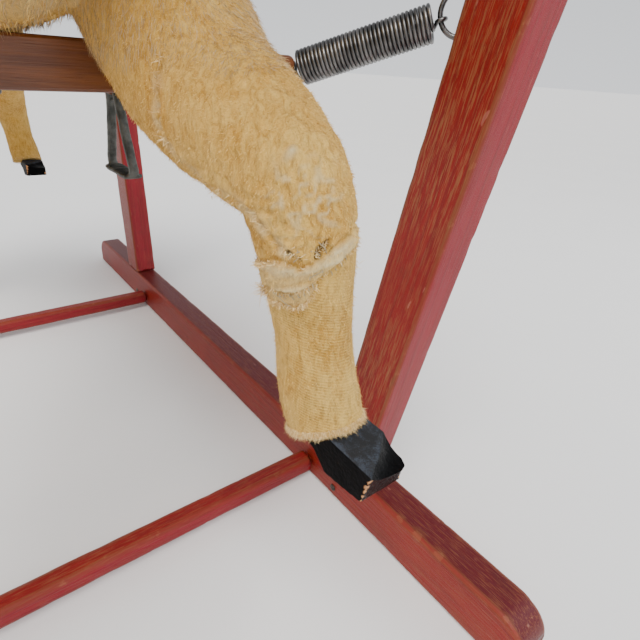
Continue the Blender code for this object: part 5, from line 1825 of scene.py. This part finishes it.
def make_seat(cover_tree):
    seat = skin("seat_pad", limb_rings(SEAT, 70, 72), SADDLE_LEATHER)
    points = get_points(seat)
    middle, wide = seat_level(points[:, 0]), seat_half_width(points[:, 0])
    square = np.sign(points[:, 1]) * wide * (np.abs(points[:, 1]) / wide) ** 0.42
    points[:, 1] = np.where(points[:, 2] < middle, square, points[:, 1])
    set_points(seat, points)
    cut_below(seat, 0.6665)
    remesh(seat, 0.0042, 2)
    points = get_points(seat)
    low = np.zeros(len(points))
    for k, (x, y, _) in enumerate(points):
        spot, _ = straight_down(cover_tree, x, y)
        low[k] = 0.0 if spot is None else spot.z
    points[:, 2] = np.maximum(points[:, 2], low + 0.0012)
    set_points(seat, points)
    puff = seat.modifiers.new("puff", "CLOTH")
    puff.settings.quality = 6
    puff.settings.use_pressure = True
    puff.settings.uniform_pressure_force = 4.0
    puff.settings.tension_stiffness = 25
    puff.settings.compression_stiffness = 25
    puff.settings.bending_stiffness = 2.0
    puff.settings.effector_weights.gravity = 0.0
    scene = bpy.context.scene
    for number in range(1, 21):
        scene.frame_set(number)
    apply_modifiers(seat)
    moved = get_points(seat) - points
    reach = np.linalg.norm(moved, axis=1, keepdims=True)
    points = points + moved * np.minimum(1.0, 0.0030 / np.maximum(reach, 1e-9))
    points[:, 2] = np.maximum(points[:, 2], low + 0.0012)
    set_points(seat, points)
    scene.frame_set(1)
    detail = seat.modifiers.new("detail", "SUBSURF")
    detail.levels = detail.render_levels = 1
    apply_modifiers(seat)
    seat.data.shade_smooth()
    points, normals = get_points(seat), get_normals(seat)
    share = np.abs(points[:, 1]) / np.maximum(seat_half_width(points[:, 0]), 0.012)
    above = ramp(points[:, 2], 0.690, 0.705)
    roll = np.exp(-((share - 0.80) / 0.045) ** 2) * above
    cross, cantle = (np.exp(-((points[:, 0] - x) / 0.0032) ** 2) * above * ramp(-share, -0.86, -0.78)
                     for x in (0.064, -0.118))
    folds = np.abs(value_noise(points * (1.3, 0.7, 1.0), 0.016, 66))
    seams = np.clip(roll + cross + cantle, 0, 1)
    lift = 0.0004 * value_noise(points, 0.020, 67) - 0.0026 * seams
    lift += 0.0009 * folds * ramp(seams, 0.0, 0.25) * (1 - seams)
    set_points(seat, points + normals * lift[:, None])
    set_attribute(seat, "edge", np.clip(0.35 * seams + 0.5 * ramp(points[:, 2], 0.722, 0.742), 0, 1))
    attach(seat, "horse", "saddle_seat")
    dressed = tree_of(seat)
    for side_name, side in SIDES:
        line, out = [], []
        for x in np.linspace(-0.140, 0.098, 150):
            spot, normal = straight_down(dressed, x, float(seat_half_width(x)) * 0.80 * side)
            if spot is not None:
                line.append(tuple(spot + normal * 0.0005))
                out.append(tuple(normal))
        stitches(side_name + "_seat_stitches", line, out, 0.0038, 0.0026, 0.00045, CREAM_THREAD)
        edge_line = []
        for x in np.linspace(-0.152, 0.104, 120):
            start = Vector((x, 0.14 * side, float(seat_level(x)) - 0.006))
            spot, normal, _, _ = dressed.ray_cast(start, Vector((0, -side, 0)), 0.2)
            if spot is not None:
                edge_line.append(tuple(spot + normal * 0.0007))
        piping = tube(side_name + "_seat_piping", edge_line, 0.0018, STRAP_LEATHER, 8)
        set_level(piping, "edge", 0.5)
        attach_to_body(piping, "horse")
    for end, x, y in (("rear", -0.128, 0.040), ("front", 0.078, 0.030)):
        for side_name, side in SIDES:
            spot, normal = straight_down(dressed, x, y * side)
            nail(f"saddle_nail_{end}_{side_name}", spot, normal, 0.0038)


def nail(name, place, out, radius):
    """A domed brass nail head."""
    side = out.orthogonal().normalized()
    other = out.cross(side)
    rings = []
    for tilt in np.linspace(math.pi / 2, 0.04, 9):
        middle = place + out * (0.42 * radius * math.cos(tilt) - 0.0003)
        rings.append([middle + (side * math.cos(a) + other * math.sin(a)) * radius * math.sin(tilt)
                      for a in circle_of(20)])
    attach(skin(name, rings, BRASS), "horse")


# ---------------------------------------------------------------- bridle

def head_band(name, tree, share, half_width, node, limit):
    """A strap right round the head, square to its slope."""
    start, end = Vector((0.385, 0.0, 0.932)), Vector((0.530, 0.0, 0.853))
    middle = start.lerp(end, share)
    axis = (end - start).normalized()
    up = Vector((-axis.z, 0.0, axis.x)).normalized()
    grid = []
    columns = 96
    offsets = np.linspace(-half_width, half_width, 9)
    for offset in offsets:
        row = []
        for angle in circle_of(columns):
            direction = up * math.cos(angle) + Vector((0, 1, 0)) * math.sin(angle)
            spot, _, _, _ = outermost(tree, middle + axis * float(offset), direction, 0.12)
            reach = 0.03 if spot is None else min((spot - middle - axis * float(offset)).length, limit)
            row.append(tuple(middle + axis * float(offset) + direction * reach))
        grid.append(row)
    grid = np.array(grid)
    for _ in range(3):
        grid = (np.roll(grid, 1, axis=1) + 2 * grid + np.roll(grid, -1, axis=1)) / 4
    centre = np.array(middle)
    out = grid - centre
    out = unit(out - np.array(axis) * np.sum(out * np.array(axis), axis=2, keepdims=True))
    eased = np.array([0.4, 0.85, 1, 1, 1, 1, 1, 0.85, 0.4])[:, None, None]
    outer = grid + out * (0.0010 + 0.0021 * eased)
    inner = grid + out * 0.0006
    rings = np.concatenate([outer, inner[::-1]]).transpose(1, 0, 2)
    band = skin(name, rings, STRAP_LEATHER, closed=True)
    edge = np.concatenate([1 - eased[:, 0, 0], 1 - eased[::-1, 0, 0]])
    set_attribute(band, "edge", np.tile(edge * 1.2, columns))
    attach(band, "horse", node)
    for row, side_name in ((1, "back"), (7, "front")):
        line = np.vstack([outer[row], outer[row][:1]])
        facing = np.vstack([out[row], out[row][:1]])
        stitches(f"{name}_{side_name}_stitches", line + facing * 0.0002, facing, 0.0030, 0.0020, 0.00036,
                 CREAM_THREAD)


def strap_on(name, tree, path, width, thickness):
    """A flat strap laid on the head along a rough path."""
    line, out = [], []
    for place in smooth_rows(path, 60):
        spot, normal, _, _ = tree.find_nearest(Vector(place))
        line.append(tuple(spot))
        out.append(tuple(normal))
    line, out = np.array(line), np.array(out)
    for _ in range(6):
        line[1:-1] = (line[:-2] + 2 * line[1:-1] + line[2:]) / 4
        out[1:-1] = unit(out[:-2] + 2 * out[1:-1] + out[2:])
    line = line + out * (thickness / 2 + 0.0008)
    attach(strap(name, line, out, width, thickness), "horse")


def make_bridle(head):
    tree = tree_of(head)
    head_band("noseband_strap", tree, 0.74, 0.0078, "noseband", 0.06)
    head_band("headstall_strap", tree, 0.135, 0.0053, "headstall", 0.062)
    for side_name, side in SIDES:
        path = [(0.4060, 0.0460 * side, 0.9230), (0.4300, 0.0450 * side, 0.9020),
                (0.4600, 0.0400 * side, 0.8850), (0.4900, 0.0340 * side, 0.8690)]
        strap_on(side_name + "_cheek_strap", tree, path, 0.0088, 0.0021)
        spot, normal, _, _ = tree.find_nearest(Vector((0.4050, 0.046 * side, 0.9225)))
        nail(side_name + "_rosette", spot + normal * 0.0032, normal, 0.0085)
        centre = Vector((0.4745, 0.0440 * side, 0.8790))
        circle = [centre + Vector((0.0108 * math.cos(a), 0.0016 * side * math.cos(a), 0.0108 * math.sin(a)))
                  for a in circle_of(40)]
        ring = tube(side_name + "_bit_ring", circle, 0.0014, BRASS, 9, closed=True)
        attach(ring, "horse")
        spot, normal, _, _ = tree.find_nearest(centre + Vector((0.014, 0, -0.006)))
        tab = [tuple(centre + Vector((0.0100, -0.0020 * side, -0.0035))),
               tuple(centre + Vector((0.0112, 0.0020 * side, -0.0042))),
               tuple((centre + Vector((0.0175, 0.0, -0.0075)) + spot + normal * 0.005) / 2),
               tuple(spot + normal * 0.0032 + Vector((0.006, 0, -0.003)))]
        path = smooth_rows(tab, 18)
        outward = np.tile((0.15, side, 0.2), (len(path), 1))
        loop = skin(side_name + "_bit_loop", strap_rings(path, outward, 0.0080, 0.0018), STRAP_LEATHER)
        set_level(loop, "edge", 0)
        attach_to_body(loop, "horse")
    left = [(0.468, 0.0470, 0.8800), (0.440, 0.0600, 0.8480), (0.395, 0.0710, 0.8080),
            (0.340, 0.0790, 0.7720), (0.280, 0.0860, 0.7370), (0.225, 0.0880, 0.7060),
            (0.185, 0.0780, 0.6960), (0.155, 0.0570, 0.7010), (0.141, 0.0300, 0.7085), (0.137, 0.0, 0.7110)]
    whole = left + [(x, -y, z) for x, y, z in reversed(left[:-1])]
    path = smooth_rows(whole, 260)
    sway = value_noise(path, 0.05, 68) * 0.0012
    along = tangents(path)
    out = unit(np.cross(along, (0.0, 0.0, 1.0)))
    path = path + out * sway[:, None]
    attach(strap("rein_strap", path, out, 0.0118, 0.0023), "horse", "reins")
    for (side_name, side), end in zip(SIDES, (slice(4, 30), slice(230, 256))):
        facing = out[end] * side
        stitches(side_name + "_rein_stitches", path[end] + facing * 0.0013, facing, 0.0030, 0.0020, 0.00036,
                 CREAM_THREAD)


# ---------------------------------------------------------------- stirrups

def make_stirrup_leathers():
    for side_name, side in SIDES:
        y = 0.1240 * side
        levels = [0.5995, 0.585, 0.560, 0.530, 0.500, 0.470, 0.448, 0.4400]
        path = smooth_rows([(0.1000 + 0.0004 * math.sin(k * 1.7), y + 0.0003 * side * math.cos(k * 2.1), z)
                            for k, z in enumerate(levels)], 90)
        width = 0.0178 - 0.0046 * ramp(-path[:, 2], -0.470, -0.444)
        across = np.linspace(-1, 1, 9)
        eased = np.array([0.3, 0.85, 1, 1, 1, 1, 1, 0.85, 0.3])
        half_thickness = 0.00125
        front, back = (np.array([[place + np.array((a * wide / 2, face * half_thickness * e, 0))
                                  for a, e in zip(across, eased)] for place, wide in zip(path, width)])
                       for face in (side, -side))
        rings = np.concatenate([front, back[:, ::-1]], axis=1)
        hanging = skin(side_name + "_leather_strap", rings, STRAP_LEATHER)
        set_attribute(hanging, "edge", np.tile(np.concatenate([1 - eased, 1 - eased]) * 1.3, len(path)))
        body = side_name + "_leather"
        attach(hanging, body, side_name + "_stirrup_leather")
        drop = []
        pivot = 0.4245
        for k in range(41):
            angle = math.radians(38) + (2 * math.pi - 2 * math.radians(38)) * k / 40
            drop.append((0.1000, y + 0.0096 * math.sin(angle), pivot + 0.0096 * math.cos(angle)))
        drop = [(0.1000, y + 0.0012, 0.4445)] + drop[1:-1] + [(0.1000, y - 0.0012, 0.4445)]
        rows = smooth_rows(drop, 80)
        facing = unit(np.cross(tangents(rows), (1.0, 0.0, 0.0)))
        attach(strap(side_name + "_leather_loop", rows, facing, 0.0118, 0.0013), body)
        out = Vector((0.0, side, 0.0))
        buckle(side_name + "_leather_buckle", Vector((0.1, y + 0.0034 * side, 0.4580)), out,
               Vector((0, 0, -1)), 0.0200, 0.0165, 0.0012, body)
        for number in range(4):
            z = 0.4740 + 0.0130 * number
            circle = [(0.1 + 0.0014 * math.cos(a), y + 0.00155 * side, z + 0.0014 * math.sin(a))
                      for a in circle_of(18)]
            hole = tube(f"{side_name}_leather_eyelet_{number}", circle, 0.00042, BRASS, 6, closed=True)
            attach(hole, body)
        for sign, edge_name in ((-1, "rear"), (1, "front")):
            line = path[6:74] + np.array((sign * 0.0070, side * 0.00135, 0))
            line[:, 0] -= sign * 0.0023 * ramp(-line[:, 2], -0.470, -0.444)
            stitches(f"{side_name}_leather_{edge_name}_stitches", line, (0, side, 0), 0.0030, 0.0022, 0.00036,
                     CREAM_THREAD, body)


def make_irons():
    half = [(0.0, 0.0), (0.0075, 0.0015), (0.0115, 0.0100), (0.0158, 0.0250), (0.0220, 0.0430),
            (0.0285, 0.0590), (0.0325, 0.0690), (0.0325, 0.0745), (0.0270, 0.0790), (0.0, 0.0790)]
    top = 0.4215
    for side_name, side in SIDES:
        y = 0.1240 * side
        outline = [(0.1 + out, top - down) for out, down in half]
        outline += [(0.1 - out, top - down) for out, down in reversed(half[1:-1])]
        outline = np.array(outline)
        closed = np.vstack([outline[-2:], outline, outline[:3]])
        path = smooth_rows(np.stack([closed[:, 0], np.full(len(closed), y), closed[:, 1]], axis=1),
                           (len(closed) - 1) * 12 + 1)[24:24 + len(outline) * 12]
        along = unit(np.roll(path, -1, axis=0) - np.roll(path, 1, axis=0))
        normal = np.stack([along[:, 2], 0 * along[:, 0], -along[:, 0]], axis=1)
        low_enough = ramp(-path[:, 2], -(top - 0.0700), -(top - 0.0745))
        on_plate = low_enough * ramp(-np.abs(path[:, 0] - 0.1), -0.0325, -0.0300)
        breadth = 0.0044 + 0.0046 * on_plate
        thick = 0.0029 - 0.0006 * on_plate
        rings = []
        for a in circle_of(22):
            u = math.copysign(abs(math.cos(a)) ** 0.55, math.cos(a))
            v = math.copysign(abs(math.sin(a)) ** 0.55, math.sin(a))
            rings.append(path + normal * (thick * u)[:, None] + np.array((0, 1, 0)) * (breadth * v)[:, None])
        rings = np.stack(rings, axis=1)
        flat = rings.reshape(-1, 3)
        cast = 0.00022 * value_noise(flat, 0.006, 70) + 0.00010 * value_noise(flat, 0.0018, 71)
        flat = flat + unit(flat - np.repeat(path, 22, axis=0)) * cast[:, None]
        iron = skin(side_name + "_cast_iron", flat.reshape(rings.shape), IRON, closed=True)
        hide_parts(side_name + "_stirrup")
        body = side_name + "_iron"
        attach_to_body(iron, body)
        bar = smooth_rows([(0.1 - 0.0128, y, top - 0.0130), (0.1 - 0.006, y, top - 0.0124),
                           (0.1 + 0.006, y, top - 0.0124), (0.1 + 0.0128, y, top - 0.0130)], 16)
        cross = tube(side_name + "_iron_eye_bar", bar, 0.0019, IRON, 12)
        attach(cross, body)
        for number in range(9):
            x = 0.1 - 0.024 + 0.006 * number
            ridge = smooth_rows([(x, y - 0.0078, top - 0.0768), (x, y - 0.004, top - 0.0764),
                                 (x, y + 0.004, top - 0.0764), (x, y + 0.0078, top - 0.0768)], 10)
            tread = tube(f"{side_name}_iron_tread_{number}", ridge, 0.0007, IRON, 8)
            attach(tread, body)


def make_saddlery(torso, head):
    torso_tree = tree_of(torso)
    cover = tree_of(torso, make_blanket(torso_tree))
    make_girth(torso_tree)
    make_flaps(cover)
    make_seat(cover)
    make_bridle(head)
    make_stirrup_leathers()
    make_irons()


TORSO_PLUSH, HEAD_PLUSH = make_figure()
make_saddlery(TORSO_PLUSH, HEAD_PLUSH)
